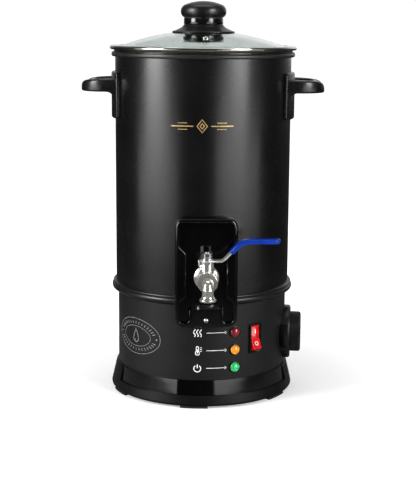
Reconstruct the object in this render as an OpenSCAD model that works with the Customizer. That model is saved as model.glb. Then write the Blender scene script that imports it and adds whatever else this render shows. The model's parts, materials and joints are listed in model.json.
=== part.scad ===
// Candle wax melter: a double-walled melting pot on a heated base, with a ball tap,
// a glass lid, two side handles and a control panel. Millimetres, +Z up.
// The origin is on the floor under the pot's axis, and the tap faces -Y.

/* [Pot] */
// Outer radius of the pot's shell
shell_r = 94; // [90:0.5:98]
// Sheet thickness of the shell
shell_wall = 1; // [0.8:0.1:1.5]
// Height of the shell between the joint ring and the rim
shell_height = 244.3; // [220:0.1:270]
// Space between the shell and the inner pot
jacket_gap = 5.5; // [4.5:0.1:7]
// Sheet thickness of the inner pot
pot_wall = 1.5; // [1:0.1:2]
// Depth of the inner pot below its rim
pot_depth = 243; // [238:0.5:246]
// Inside radius of the inner pot's bottom corner
pot_corner_r = 8; // [4:0.5:10]
// Height of the rolled rim
rim_height = 5; // [4:0.1:6]
// Thickness of the rolled rim, across
rim_width = 3.7; // [3:0.1:4]

/* [Joint ring] */
// Height of the ring between the pot and the base
seam_height = 11.2; // [10:0.1:14]
// Radius of the ring's lower bead
bead_r = 3.4; // [2.6:0.1:3.8]
// Radius of the ring's upper bead
lip_r = 1.5; // [1:0.1:1.8]
// How far the lower bead stands out from the shell
bead_reach = 4.5; // [3.5:0.1:5.5]
// How deep the shell stands in the ring
shell_grip = 5.2; // [3:0.1:7]

/* [Base] */
// Outer radius of the base housing
housing_r = 91.7; // [89:0.1:93]
// Wall thickness of the base housing
housing_wall = 2.5; // [2:0.1:3]
// Height of the base housing
housing_height = 79.4; // [74:0.1:90]
// Thickness of the housing's top flange
housing_flange = 2.5; // [2:0.1:4]
// Radius of the hole in the housing's top
housing_hole_r = 80; // [72:0.5:84]
// Outer radius of the skirt at its foot
skirt_r = 99.5; // [97:0.1:103]
// Height of the skirt
skirt_height = 26.6; // [24:0.1:32]
// Radius of the skirt's rounded shoulder
skirt_shoulder = 2; // [1:0.1:2.5]
// Wall thickness of the skirt
skirt_wall = 4; // [3.6:0.1:4.4]
// Half angle of the gloss trim band
trim_angle = 67.5; // [50:0.5:75]
// Height of the gloss trim band
trim_height = 15.4; // [10:0.1:17]
// Thickness of the gloss trim band
trim_wall = 1; // [0.8:0.1:1.2]
// Height of the rubber feet
foot_height = 2; // [1.5:0.1:4]
// Number of feet
foot_count = 6; // [3:1:8]
// Half angle of one foot
foot_angle = 8.5; // [5:0.5:12]
// Angle of the first foot
foot_start = -7; // [-20:1:20]
// Radius of the centre foot, on the pot's axis
centre_foot_r = 9; // [7:0.5:12]
// Thickness of the bottom cover
cover_wall = 2.5; // [2:0.1:3]
// Radius of the bottom cover
cover_r = 90; // [87:0.5:90.5]

/* [Lid] */
// Outer radius of the lid's steel rim
lid_r = 99.7; // [97:0.1:104]
// Height of the lid's rolled edge
lid_edge_height = 4.3; // [3.6:0.1:5]
// Radius of the glass disc
glass_r = 91; // [88:0.5:92]
// Thickness of the glass
glass_wall = 3.2; // [2.5:0.1:3.4]
// Radius of the glass dome's curve
dome_r = 244.6; // [225:0.1:270]
// How far the lid's rolled edge reaches in over the glass
glass_lap = 1.5; // [1:0.1:3]
// Thickness of the rolled edge over the glass
glass_lap_wall = 1.3; // [0.8:0.1:2]
// Clearance between the glass and the edge above it
glass_play = 0.0623; // [0.05:0.0001:0.2]
// Depth of the lid's lip inside the pot
lip_depth = 13; // [8:0.5:20]
// Thickness of the lid's sheet
lid_sheet = 0.9; // [0.6:0.1:1]
// Radius of the steam vent from the axis
vent_offset = 57; // [45:1:70]
// Radius of the steam vent's flange
vent_r = 4; // [3.5:0.1:6]

/* [Knob] */
// Largest radius of the knob's cap
knob_r = 24.3; // [21:0.1:28]
// Height of the knob's cap
cap_height = 17.6; // [15:0.1:20]
// Radius of the knob's neck ring
neck_r = 21; // [18:0.1:23]
// Height of the knob's neck ring
neck_height = 6.6; // [4:0.1:10]
// Radius of the knob's flared skirt
flare_r = 33.4; // [28:0.1:38]
// Height of the knob's flared skirt over the dome's top
flare_height = 6.6; // [5:0.1:9]
// Radius of the seat under the glass
seat_r = 21.7; // [15:0.1:24]
// Drop of the seat below the dome's top
seat_drop = 12.5; // [9:0.1:16]
// Shank radius of the knob's screw
knob_screw_r = 2; // [1.5:0.1:2.5]

/* [Handles] */
// Turn of the two handles about the pot's axis, from square to the tap
handle_turn = 4.8; // [0:0.1:6]
// Reach of the grips from the pot's axis
grip_reach = 129; // [125:0.5:145]
// Half angle of the handle's saddle plate
saddle_angle = 25; // [22:0.5:30]
// Thickness of the saddle plate
saddle_wall = 4; // [3:0.1:6]
// Height of the saddle plate
saddle_height = 48.6; // [40:0.1:60]
// Top of the saddle plate, below the pot's rim
saddle_drop = 20.9; // [15:0.1:40]
// Thickness of the grip
grip_height = 13.6; // [11:0.1:18]
// Top of the grip, below the saddle plate's top
grip_drop = 6.9; // [4:0.1:16]
// Width of the grip's bar and legs
grip_width = 11; // [10:0.1:16]
// Corner radius of the grip, from above
grip_corner = 14; // [8:0.5:18]
// Fall of the grip's top towards its tip
grip_fall = 6.1; // [3:0.1:8]
// Radius of the fillet under the grip
gusset_r = 8; // [4:0.5:12]
// Shank radius of the handle screws
handle_screw_r = 2; // [1.5:0.1:2.5]

/* [Tap plate] */
// Width of the tap's cover plate
plate_width = 64; // [58:0.5:72]
// Height of the cover plate above the tap's axis
plate_rise = 61; // [52:0.5:70]
// Depth of the cover plate below the tap's axis
plate_fall = 52.1; // [48:0.1:56]
// Corner radius of the cover plate
plate_corner = 10; // [6:0.5:14]
// Distance of the plate's front from the pot's axis
plate_front = 106; // [104:0.5:110]
// Depth of the plate's panel below its rim
panel_depth = 5; // [3:0.1:5.5]
// Width of the plate's rim
plate_rim = 4.5; // [3:0.1:6]
// Width of the lands at the panel's sides
land_width = 7; // [4:0.1:9]
// Width of the block under the tap
block_width = 35; // [24:0.5:42]
// Shank radius of the plate's screw
plate_screw_r = 1.4; // [1:0.1:2]

/* [Tap] */
// Height of the tap's axis above the pot's floor
tap_rise = 18.7; // [17.5:0.1:24]
// Thread radius of the nipple
nipple_r = 8; // [7:0.1:8.2]
// Bore radius of the nipple
nipple_bore_r = 5; // [4:0.1:6]
// Radius of the valve's round flange
tap_flange_r = 12.9; // [11:0.1:15]
// Radius of the valve's barrel
barrel_r = 9.75; // [9.4:0.05:11]
// Distance of the stem from the plate's panel
stem_reach = 18.5; // [17.5:0.1:22]
// Radius of the ball
ball_r = 7; // [6.6:0.1:7.1]
// Bore radius of the ball, the elbow and the nozzle
spout_bore_r = 4.5; // [3.5:0.1:4.8]
// Radius of the neck
tap_neck_r = 6.7; // [5.8:0.1:8]
// Height of the neck above the tap's axis
tap_neck_height = 17.5; // [16:0.1:22]
// Radius of the stem
stem_r = 2.9; // [2.4:0.1:3.2]
// Radius of the stem's thread
stem_thread_r = 2.4; // [1.8:0.1:2.6]
// Radius of the spout's tube
spout_r = 5.8; // [5.4:0.1:6.2]
// Bend radius of the spout
spout_bend_r = 6.5; // [6.3:0.1:9]
// Radius of the nozzle's foot
nozzle_r = 8.5; // [7.2:0.1:10]
// Height of the nozzle
nozzle_height = 5.6; // [4:0.1:8]
// Drop of the nozzle's mouth below the tap's axis
nozzle_drop = 16.9; // [15:0.1:19]

/* [Tap lever] */
// Thickness of the lever's strip
lever_wall = 2; // [1.6:0.1:2.5]
// Width of the lever's strip
lever_width = 10; // [8:0.1:12]
// Reach of the lever from its stem
lever_reach = 73.4; // [65:0.1:85]
// Rise of the lever's grip above its hub
lever_rise = 19.9; // [15:0.1:24]
// Start of the lever's slope from its stem
slope_start = 15.5; // [14:0.1:18]
// Length of the slope along X
slope_run = 19.8; // [17:0.1:24]
// Bend radius of the strip
lever_bend_r = 9; // [6:0.1:10]
// Thickness of the vinyl sleeve
sleeve_height = 5; // [4:0.1:6]
// Width of the vinyl sleeve
sleeve_width = 12.5; // [12.4:0.1:15]
// Radius of the lever's hub
hub_r = 6; // [5:0.1:6.4]
// Height of the hexagon on the lever's nut
lever_nut_height = 5.7; // [4:0.1:8]

/* [Controls] */
// Angle of the lamps round the housing
lamp_angle = 19.6; // [16:0.1:24]
// Height of the middle lamp above the housing's foot
lamp_height = 31.8; // [28:0.1:40]
// Spacing of the lamps
lamp_pitch = 18.9; // [15:0.1:22]
// Radius of a lamp's lens
lens_r = 5; // [4:0.1:6]
// Radius of a lamp's rim
lamp_rim_r = 6; // [5.6:0.1:7]
// Angle of the switch round the housing
switch_angle = 35; // [33:0.1:45]
// Height of the switch above the housing's foot
switch_height = 41.1; // [35:0.1:50]
// Width of the switch's frame
frame_width = 16; // [14:0.1:18]
// Length of the switch's frame
frame_length = 31.5; // [30:0.1:34]
// Tilt of the rocker to each side
rocker_tilt = 12; // [8:0.5:14]
// Angle of the dial round the housing
dial_angle = 82; // [76:0.5:100]
// Height of the dial above the housing's foot
dial_height = 32.4; // [30:0.1:48]
// Radius of the dial
dial_r = 21.9; // [18:0.1:26]
// Depth of the dial
dial_depth = 11.1; // [8:0.1:15]
// Radius of the dial's bezel
bezel_r = 29.2; // [26:0.1:31]
// How far the bezel stands out from the housing
bezel_reach = 6.3; // [5:0.1:10]
// Number of ribs on the dial
rib_count = 60; // [24:1:72]
// Radius of the dial's shaft
shaft_r = 3; // [2.5:0.1:4]

/* [Heater] */
// Radius of the heating plate
heater_r = 76; // [66:0.5:78]
// Thickness of the heating plate
heater_wall = 7.5; // [6:0.1:8]
// Radius of the heating element's loop
element_loop_r = 58; // [45:0.5:64]
// Radius of the heating element's tube
element_r = 3.5; // [2.5:0.1:3.6]

/* [Inlet] */
// Height of the mains inlet above the housing's foot
inlet_height = 24; // [20:0.1:34]
// Length of the inlet's flange
inlet_length = 50; // [47:0.5:54]
// Height of the inlet's flange
inlet_width = 23; // [22:0.1:28]
// Distance between the inlet's screws
inlet_screw_pitch = 40; // [36:0.5:42]

/* [Hidden] */
$fn = 96;
tiny = 0.05;          // clearance of fitted and running surfaces
loose = 0.3;          // clearance of surfaces that pass each other
over = 1;             // how far a cut runs past a face
dome_fn = 720;        // the dome's curve is large, so its mesh is fine

// Heights, stacked from the floor
skirt_z = foot_height;
housing_z = skirt_z + skirt_height;
seam_z = housing_z + housing_height;
shell_z = seam_z + seam_height;
flange_z = shell_z + shell_height;
rim_z = flange_z + pot_wall;
floor_z = rim_z - pot_depth;
tap_z = floor_z + tap_rise;

// Radii of the two walls
shell_in_r = shell_r - shell_wall;
pot_out_r = shell_in_r - jacket_gap;
pot_in_r = pot_out_r - pot_wall;
rim_in_r = shell_r + 0.1;
rim_mid_r = rim_in_r + rim_width / 2;
housing_in_r = housing_r - housing_wall;
ring_in_r = housing_in_r - 0.2;

// Joint ring
bead_mid_r = shell_r + bead_reach - bead_r;
bead_z = seam_z + 2 + bead_r;
lip_mid_r = shell_r + bead_reach - 1 - lip_r;
lip_z = shell_z - 0.3 - lip_r;

// Skirt: the outer line runs from the shoulder to the foot
shoulder_r = housing_r + 0.6;
skirt_foot_r = 2.2;
ledge_z = skirt_z + 6;             // underside of the inner ledge, on the bottom cover
ledge_wall = 2.5;
ledge_in_r = cover_r - 11;
skirt_in_top = housing_r - 1.4;
trim_z = housing_z - trim_height;
trim_slope = 0.16;
trim_back_top = housing_r + 0.35;
trim_back_foot = trim_back_top + trim_slope * trim_height;
foot_in_r = cover_r + 1.5;
foot_out_r = skirt_r - 0.5;
foot_mid_r = (foot_in_r + foot_out_r) / 2 - 1.2;
peg_r = 2;
peg_height = 3;
cover_screw_r = 1.45;
cover_screw_at = cover_r - 2.4 - 1.4 * 2;
cover_head_r = 3.2;
cover_boss = 6;

// Lid
lid_gap = 0.2;                     // running gap under the lid's seat
lid_z = rim_z + lid_gap;
lid_edge_z = lid_z + 2.1;
lid_top = lid_edge_z + lid_edge_height;
lid_lip_r = pot_in_r - 0.7;
glass_rim_z = lid_top - glass_lap_wall - glass_play;
dome_top = glass_rim_z + dome_r - sqrt(pow(dome_r, 2) - pow(glass_r - glass_lap, 2));
dome_z = dome_top - dome_r;
vent_tilt = asin(vent_offset / dome_r);
flare_z = dome_top + flare_height;
neck_z = flare_z + neck_height;
knob_top = neck_z + cap_height;
cap_round = 7.6;
cap_dome_z = neck_z + 6.8 + cap_round;
cap_dome_h = knob_top - cap_dome_z;
cap_mid_r = knob_r - cap_round;
cap_dome_r = (pow(cap_mid_r, 2) + pow(cap_dome_h, 2)) / (2 * cap_dome_h);
seat_z = dome_top - seat_drop;

// Handles
saddle_top = rim_z - saddle_drop;
saddle_z = saddle_top - saddle_height;
saddle_r = shell_r + saddle_wall;
grip_top = saddle_top - grip_drop;
grip_z = grip_top - grip_height;
grip_half = shell_r * sin(saddle_angle) - 0.4;
screw_angle = asin((grip_half - grip_width / 2) / saddle_r);
handle_screw_z = (grip_top + grip_z) / 2;
handle_screw_depth = 10;

// Tap, as distances from the pot's axis along -Y
panel_w = plate_front - panel_depth;
gasket_wall = 1.5;
valve_w = panel_w + gasket_wall;
stem_w = panel_w + stem_reach;
chamber_r = ball_r + 0.4;
seat_wall = 2.7;
chamber_w = stem_w - ball_r - 0.3;
tail_w = stem_w + ball_r + 0.3;
barrel_w = tail_w + 4.2;
elbow_ring = 1.5;
spout_w = barrel_w + spout_bend_r + 0.5;
nozzle_z = tap_z - nozzle_drop;
gasket_r = nipple_r + 4;
nut_hex_r = gasket_r + 0.7;
pot_gasket_w = pot_in_r - 2.8;
tap_nut_wall = 4.5;
nipple_w = pot_gasket_w - tap_nut_wall - 0.7;
nipple_end_w = chamber_w - 1.7;
flange_wall = 4;
neck_top = tap_z + tap_neck_height;
gland_wall = 1.8;
lever_z = neck_top + gland_wall + 0.2;
lever_mid_z = lever_z + lever_wall / 2;
nut_z = lever_z + lever_wall;
nut_flange = 1.6;
stem_top = nut_z + nut_flange + lever_nut_height + 0.8;
gland_z = neck_top - 5;
gland_r = tap_neck_r - 2.1;
tang_wall = 2;
slot_z = tap_z + ball_r - 1.4;
stop_r = tap_neck_r + 2.2;         // outer radius of the stop lugs
stop_wall = 1.4;                   // thickness of the lever's stop tab
stop_half = 1.5;                   // half width of the stop tab
stop_in_r = tap_neck_r + 0.8;
stop_z = neck_top - 2.6;
stop_turn = asin(stop_half / stop_in_r) + 1.2;
lug_turn = 20;

// Lever's line: level, a bend up, the slope, a bend back to level
slope_angle = atan2(lever_rise, slope_run);
bend_run = lever_bend_r * tan(slope_angle / 2);
grip_mid_z = lever_mid_z + lever_rise;
bend_a = [slope_start - bend_run, lever_mid_z + lever_bend_r];
bend_b = [slope_start + slope_run + bend_run, grip_mid_z - lever_bend_r];
sleeve_slope = 13;                 // length of the sleeve on the slope
strip_end = lever_reach - sleeve_height / 2 - 1.2;

// Controls
lamp_z = [for (i = [1:-1:-1]) housing_z + lamp_height + i * lamp_pitch];
lamp_body_r = lens_r - 0.1;
lamp_body_depth = 17;
switch_z = housing_z + switch_height;
frame_wall = 1.8;
frame_body_w = frame_width - 3.1;
frame_body_l = frame_length - 2.6;
rocker_w = frame_width - 5.7;
rocker_r = frame_length / 2 - 2.1;
rocker_corner = 26.6;              // angle of the rocker's ends from its pivot
pivot_w = housing_r - 2.5;
pivot_r = 1.4;
switch_back = 13;
blade = 9;
dial_z = housing_z + dial_height;
bezel_w = housing_r + bezel_reach;
dial_w = bezel_w + 0.4;
dial_end_w = dial_w + dial_depth;
thermo_w = housing_in_r - 5;       // front of the thermostat's bracket
thermo_screw_at = 14;
thermo_screw_r = 1.7;
bracket_wall = 1.2;
thermo_depth = 22;
thermo_half = 17;
thermo_mid_w = thermo_w - bracket_wall - thermo_depth / 2;
thermo_back_w = thermo_mid_w - thermo_depth / 2 - 9;

// Heater
heater_z = floor_z - pot_wall - heater_wall;
element_z = heater_z + 0.5;
element_gap_angle = 15;            // half angle of the element's open side, at the back
cutout_at = 28;
cutout_r = 7.8;
bulb_at = 20;
bulb_r = 1.9;
shield_wall = 1;

// Inlet
inlet_z = housing_z + inlet_height;
inlet_seat_w = housing_r + 1.8;    // face of the housing's flat boss, along +Y
inlet_flange = 2.5;
inlet_body_l = 27;
inlet_body_w = 19.4;
inlet_depth = 22;
socket_l = 23.4;
socket_w = 15.4;
socket_depth = 17;
pin_recess = 4.6;
pin_length = 30;
pin_back_w = inlet_seat_w + inlet_flange - pin_recess - pin_length;
pins = [[-7, -2], [0, 2], [7, -2]];

// Terminal block and wires
wire_r = 1.3;
block_x = -28;
block_y = 24;
block_pitch = 9;
block_half = 8;

pot_black = "#1c1c1d";
satin_black = "#222223";
gloss_black = "#0c0c0d";
base_grey = "#2a2a2b";
steel = "#c9c7c2";
nickel = "#d6d2c6";

// ---- Helpers ----

// A frame that looks straight out of the wall: its +Z is the distance from the pot's axis,
// and its +Y points up. The angle runs from the front towards the dial.
module outward(angle, height) {
  rotate([0, 0, angle])
    translate([0, 0, height])
      rotate([90, 0, 0])
        children();
}

// The same frame as outward(), for a point [x, y, distance from the axis]
function out_point(angle, height, p) = [
  p[0] * cos(angle) + p[2] * sin(angle),
  p[0] * sin(angle) - p[2] * cos(angle),
  height + p[1]
];

module tube(outer_r, inner_r, height) {
  difference() {
    cylinder(r = outer_r, h = height);
    translate([0, 0, -over])
      cylinder(r = inner_r, h = height + 2 * over);
  }
}

// A cylinder from one height to another
module rod(r, from, to) {
  translate([0, 0, from])
    cylinder(r = r, h = to - from);
}

module box_at(size, centre) {
  translate(centre)
    cube(size, center = true);
}

// A rectangle with round corners, centred
module round_rect(width, height, corner) {
  square([width - 2 * corner, height], center = true);
  square([width, height - 2 * corner], center = true);
  for (x = [-1, 1], y = [-1, 1])
    translate([x * (width / 2 - corner), y * (height / 2 - corner)])
      circle(r = corner);
}

// A sector of a revolved profile, centred on an angle measured from +X
module sector(centre, half_angle) {
  rotate([0, 0, centre - half_angle])
    rotate_extrude(angle = 2 * half_angle)
      children();
}

// Points of an arc from one angle to another
function bend(mid, r, from, to, steps = 8) =
  [for (i = [0:steps]) let (a = from + (to - from) * i / steps) mid + r * [cos(a), sin(a)]];

module hexagon(across, height) {
  cylinder(d = across / cos(30), h = height, $fn = 6);
}

// A row of straight round stretches with a ball at each bend, for wires and small tubes
module run_of_rods(points, r) {
  for (i = [0:len(points) - 2]) {
    step = points[i + 1] - points[i];
    flat = norm([step[0], step[1]]);
    translate(points[i])
      rotate([0, atan2(flat, step[2]), atan2(step[1], step[0])])
        cylinder(r = r, h = norm(step), $fn = 24);
  }
  for (i = [1:len(points) - 2])
    translate(points[i])
      sphere(r = 1.1 * r, $fn = 24);
}

module handle_screw_places() {
  for (side = [90, -90], turn = [-screw_angle, screw_angle])
    outward(side + turn - handle_turn, handle_screw_z)
      children();
}

module cover_screw_places() {
  for (angle = [45:90:315])
    rotate([0, 0, angle])
      translate([cover_screw_at, 0, 0])
        children();
}

module foot_places() {
  for (i = [0:foot_count - 1])
    rotate([0, 0, foot_start + i * 360 / foot_count])
      children();
}

// ---- Pot ----

module outer_shell() {
  color(pot_black)
    difference() {
      translate([0, 0, shell_z - shell_grip])
        tube(shell_r, shell_in_r, flange_z - shell_z + shell_grip);
      outward(0, tap_z)
        rod(nipple_r + loose, pot_out_r, shell_r + over);
      handle_screw_places()
        rod(handle_screw_r + 0.1, pot_out_r, shell_r + over);
    }
}

module inner_pot() {
  corner_mid = [pot_in_r - pot_corner_r, floor_z + pot_corner_r];
  color(satin_black)
    difference() {
      rotate_extrude() {
        translate([0, floor_z - pot_wall])
          square([corner_mid[0], pot_wall]);
        translate([pot_in_r, corner_mid[1]])
          square([pot_wall, rim_z - corner_mid[1]]);
        intersection() {
          translate(corner_mid)
            difference() {
              circle(r = pot_corner_r + pot_wall);
              circle(r = pot_corner_r);
            }
          translate([corner_mid[0], floor_z - pot_wall])
            square(pot_corner_r + pot_wall);
        }
        translate([pot_in_r, flange_z])
          square([rim_mid_r - pot_in_r, pot_wall]);
        for (y = [rim_z - rim_width / 2, rim_z - rim_height + rim_width / 2])
          translate([rim_mid_r, y])
            circle(r = rim_width / 2);
        translate([rim_in_r, rim_z - rim_height + rim_width / 2])
          square([rim_width, rim_height - rim_width]);
      }
      outward(0, tap_z)
        rod(nipple_r + tiny, pot_gasket_w, shell_in_r);
    }
}

module insulation_wrap() {
  color("#d8d2c0")
    difference() {
      translate([0, 0, floor_z + 3])
        tube(shell_in_r - 0.1, pot_out_r + 0.1, pot_depth - 11);
      outward(0, tap_z)
        rod(nipple_r + 1.5, pot_in_r, shell_r);
      handle_screw_places()
        rod(handle_screw_r + 3, pot_in_r, shell_r);
    }
}

module joint_ring() {
  color(satin_black)
    rotate_extrude()
      difference() {
        union() {
          polygon([
            [ring_in_r, seam_z], [housing_r, seam_z],
            [bead_mid_r + 1.2, bead_z - bead_r + 0.25], [bead_mid_r + 1.2, lip_z],
            [shell_r + 0.1, shell_z], [ring_in_r, shell_z]
          ]);
          translate([bead_mid_r, bead_z])
            circle(r = bead_r);
          translate([lip_mid_r, lip_z])
            circle(r = lip_r);
        }
        translate([shell_in_r - tiny, shell_z - shell_grip])
          square([shell_wall + 2 * tiny, shell_grip + over]);
      }
}

// ---- Heater ----

module heating_plate() {
  color("#b9babc")
    difference() {
      rod(heater_r, heater_z, heater_z + heater_wall);
      translate([0, 0, element_z])
        rotate_extrude()
          translate([element_loop_r, 0])
            circle(r = element_r + tiny);
    }
}

module element_end_places() {
  for (side = [-1, 1])
    rotate([0, 0, 90 + side * (element_gap_angle + 4)])
      translate([element_loop_r, 0, 0])
        children();
}

module heating_element() {
  color("#8f8c86") {
    translate([0, 0, element_z])
      sector(-90, 180 - element_gap_angle)
        translate([element_loop_r, 0])
          circle(r = element_r);
    element_end_places() {
      rod(element_r - 0.4, seam_z - 6, element_z);
      rod(1.5, seam_z - 14, seam_z - 5);
    }
  }
}

module heat_shield() {
  color("#a9aaac")
    difference() {
      rod(ring_in_r - 0.5, seam_z, seam_z + shield_wall);
      element_end_places()
        rod(element_r + 1.5, seam_z - over, seam_z + 2 * over);
      translate([cutout_at, 0, 0])
        rod(cutout_r + 1, seam_z - over, seam_z + 2 * over);
      translate([0, bulb_at, 0])
        rod(2, seam_z - over, seam_z + 2 * over);
    }
}

module thermal_cutout() {
  color("#d9cdb0")
    translate([cutout_at, 0, 0]) {
      rod(cutout_r, heater_z - 9, heater_z);
      for (x = [-5, 5])
        box_at([0.8, 6, 10], [x, 0, heater_z - 13]);
    }
}

// ---- Base ----

module base_housing() {
  color(base_grey)
    difference() {
      union() {
        translate([0, 0, housing_z])
          tube(housing_r, housing_in_r, housing_height);
        translate([0, 0, seam_z - housing_flange])
          tube(housing_r - 0.5, housing_hole_r, housing_flange);
        intersection() {
          outward(180, inlet_z)
            translate([0, 0, housing_in_r - 6])
              linear_extrude(height = inlet_seat_w - housing_in_r + 6)
                round_rect(inlet_length + 4, inlet_width + 4, 5);
          translate([0, 0, housing_z])
            cylinder(r = skirt_r, h = housing_height);
        }
        outward(dial_angle, dial_z)
          for (x = [-1, 1])
            translate([x * thermo_screw_at, 0, 0])
              rod(4.5, thermo_w, housing_in_r + 0.5);
      }
      for (z = lamp_z)
        outward(lamp_angle, z)
          rod(lamp_body_r + 0.1, housing_in_r - 5, housing_r + 5);
      outward(switch_angle, switch_z)
        box_at([frame_body_w + 0.2, frame_body_l + 0.2, 20], [0, 0, housing_r]);
      outward(dial_angle, dial_z) {
        rod(5, thermo_w - over, housing_r + over);
        for (x = [-1, 1])
          translate([x * thermo_screw_at, 0, 0])
            rod(thermo_screw_r + 0.2, thermo_w - over, housing_r + over);
      }
      outward(0, tap_z - plate_fall + 7.4)
        rod(plate_screw_r + 0.1, housing_in_r - over, housing_r + over);
      outward(180, inlet_z) {
        box_at([inlet_body_l + 0.4, inlet_body_w + 0.4, 30], [0, 0, housing_r]);
        for (x = [-1, 1])
          translate([x * inlet_screw_pitch / 2, 0, 0])
            rod(1.6, housing_in_r - 8, inlet_seat_w + over);
      }
    }
}

// The outer line of the skirt, from the shoulder to the foot
module skirt_outline() {
  foot_mid = [skirt_r - skirt_foot_r, skirt_z + skirt_foot_r];
  shoulder_mid = [shoulder_r, housing_z - skirt_shoulder];
  lean = atan2(skirt_r - shoulder_r - skirt_shoulder, shoulder_mid[1] - foot_mid[1]);
  polygon(concat(
    [[0, skirt_z], [0, housing_z]],
    bend(shoulder_mid, skirt_shoulder, 90, lean, 5),
    bend(foot_mid, skirt_foot_r, lean, -90, 5)
  ));
}

// Section of the gloss band; the recess that holds it is deeper and runs out past it
module trim_section(deeper, past) {
  polygon([
    [trim_back_top - deeper - trim_slope * past, housing_z + past],
    [trim_back_top + trim_wall + past, housing_z + past],
    [trim_back_foot + trim_wall + past, trim_z], [trim_back_foot - deeper, trim_z]
  ]);
}

module base_skirt() {
  color(satin_black)
    difference() {
      union() {
        rotate_extrude()
          difference() {
            skirt_outline();
            polygon([
              [0, skirt_z - over], [skirt_r - skirt_wall, skirt_z - over],
              [skirt_r - skirt_wall, skirt_z + 2],
              [skirt_in_top, housing_z - 2.6], [0, housing_z - 2.6]
            ]);
            translate([0, housing_z - 3])
              square([ring_in_r - 2, 4]);
          }
        translate([0, 0, housing_z - 2.6])
          tube(ring_in_r, ring_in_r - 2, 6);
        translate([0, 0, ledge_z])
          tube(skirt_r - skirt_wall - 0.5, ledge_in_r, ledge_wall);
        cover_screw_places()
          rod(4.5, ledge_z, ledge_z + ledge_wall + cover_boss);
        foot_places()
          sector(-90, foot_angle)
            translate([foot_in_r - 0.5, skirt_z])
              square([skirt_r - skirt_wall + 0.5 - foot_in_r, ledge_z - skirt_z]);
      }
      sector(-90, trim_angle)
        trim_section(tiny, 5);
      cover_screw_places()
        rod(cover_screw_r + tiny, ledge_z - over, ledge_z + ledge_wall + cover_boss + over);
      foot_places()
        translate([0, -foot_mid_r, 0])
          rod(peg_r + tiny, skirt_z - over, skirt_z + peg_height + 0.2);
    }
}

module base_trim() {
  color(gloss_black)
    sector(-90, trim_angle - 0.1)
      trim_section(0, 0);
}

module bottom_cover() {
  slot_width = 3;
  color(base_grey)
    difference() {
      rod(cover_r, ledge_z - cover_wall, ledge_z);
      rod(peg_r + tiny, ledge_z - cover_wall - over, ledge_z + over);
      cover_screw_places()
        rod(cover_screw_r + 0.2, ledge_z - cover_wall - over, ledge_z + over);
      for (x = [-24:8:24])
        translate([x, -52, ledge_z - cover_wall / 2])
          cube([slot_width, 26, cover_wall + over], center = true);
    }
}

module feet() {
  cover_z = ledge_z - cover_wall;
  color("#151515") {
    foot_places() {
      sector(-90, foot_angle)
        translate([foot_in_r, 0])
          square([foot_out_r - foot_in_r, foot_height]);
      translate([0, -foot_mid_r, 0])
        rod(peg_r, foot_height - 0.5, foot_height + peg_height);
    }
    rod(centre_foot_r, 0, cover_z);
    rod(peg_r, cover_z - 0.5, ledge_z + 0.5);
    rod(peg_r + 1.2, ledge_z, ledge_z + 1.2);
  }
}

module bottom_screws() {
  color(steel)
    cover_screw_places() {
      difference() {
        rod(cover_head_r, ledge_z - cover_wall - 1.9, ledge_z - cover_wall);
        box_at([0.8, 4, 1.6], [0, 0, ledge_z - cover_wall - 1.9]);
        box_at([4, 0.8, 1.6], [0, 0, ledge_z - cover_wall - 1.9]);
      }
      rod(cover_screw_r, ledge_z - cover_wall - 0.5, ledge_z + cover_boss);
    }
}

// ---- Tap plate ----

// The recessed panel: a wide top, narrow between the lands, wide again beside the block
module panel_outline() {
  half = plate_width / 2 - plate_rim;
  narrow = half - land_width;
  top = plate_rise - plate_rim;
  foot = -plate_fall + plate_rim;
  land_top = 16.5;
  land_foot = -20;
  corner = 7;
  difference() {
    translate([0, (top + foot) / 2])
      round_rect(2 * half, top - foot, corner);
    for (side = [-1, 1])
      polygon([
        [side * (half + 1), land_top], [side * half, land_top],
        [side * narrow, land_top - 6], [side * narrow, land_foot],
        [side * half, land_foot - land_width], [side * (half + 1), land_foot - land_width]
      ]);
    translate([-block_width / 2, foot - over])
      square([block_width, -foot + over - 29.5]);
  }
}

module tap_plate() {
  rise = (plate_rise - plate_fall) / 2;
  chamfer = 1.6;
  color(gloss_black)
    difference() {
      outward(0, tap_z)
        translate([0, rise, 0]) {
          translate([0, 0, housing_r - 9])
            linear_extrude(height = plate_front - chamfer - housing_r + 9)
              round_rect(plate_width, plate_rise + plate_fall, plate_corner);
          hull()
            for (inset = [0, chamfer])
              translate([0, 0, plate_front - chamfer - 0.1 + inset])
                linear_extrude(height = 0.1)
                  round_rect(plate_width - 2 * inset,
                       plate_rise + plate_fall - 2 * inset,
                       plate_corner - inset, $fn = 32);
        }
      outward(0, tap_z) {
        translate([0, 0, panel_w])
          linear_extrude(height = panel_depth + over)
            panel_outline();
        rod(nipple_r + loose, shell_in_r, plate_front);
        translate([0, -plate_fall + 7.4, 0])
          rod(plate_screw_r + 0.1, housing_in_r - over, plate_front + over);
      }
      rod(shell_r + tiny, shell_z - over, tap_z + plate_rise + over);
      rod(shell_r + bead_reach + 0.2, seam_z - 0.3, shell_z + 0.3);
      rod(housing_r + tiny, housing_z, seam_z);
    }
}

module tap_plate_screw() {
  color(steel)
    outward(0, tap_z - plate_fall + 7.4) {
      rod(plate_screw_r, housing_in_r - 4, plate_front);
      intersection() {
        rod(2.5, plate_front, plate_front + 2);
        translate([0, 0, plate_front - 1.3])
          sphere(r = 2.9);
      }
    }
}

// ---- Tap ----

module tap_nipple() {
  color(nickel)
    outward(0, tap_z)
      translate([0, 0, nipple_w])
        tube(nipple_r, nipple_bore_r, nipple_end_w - nipple_w);
}

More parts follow.
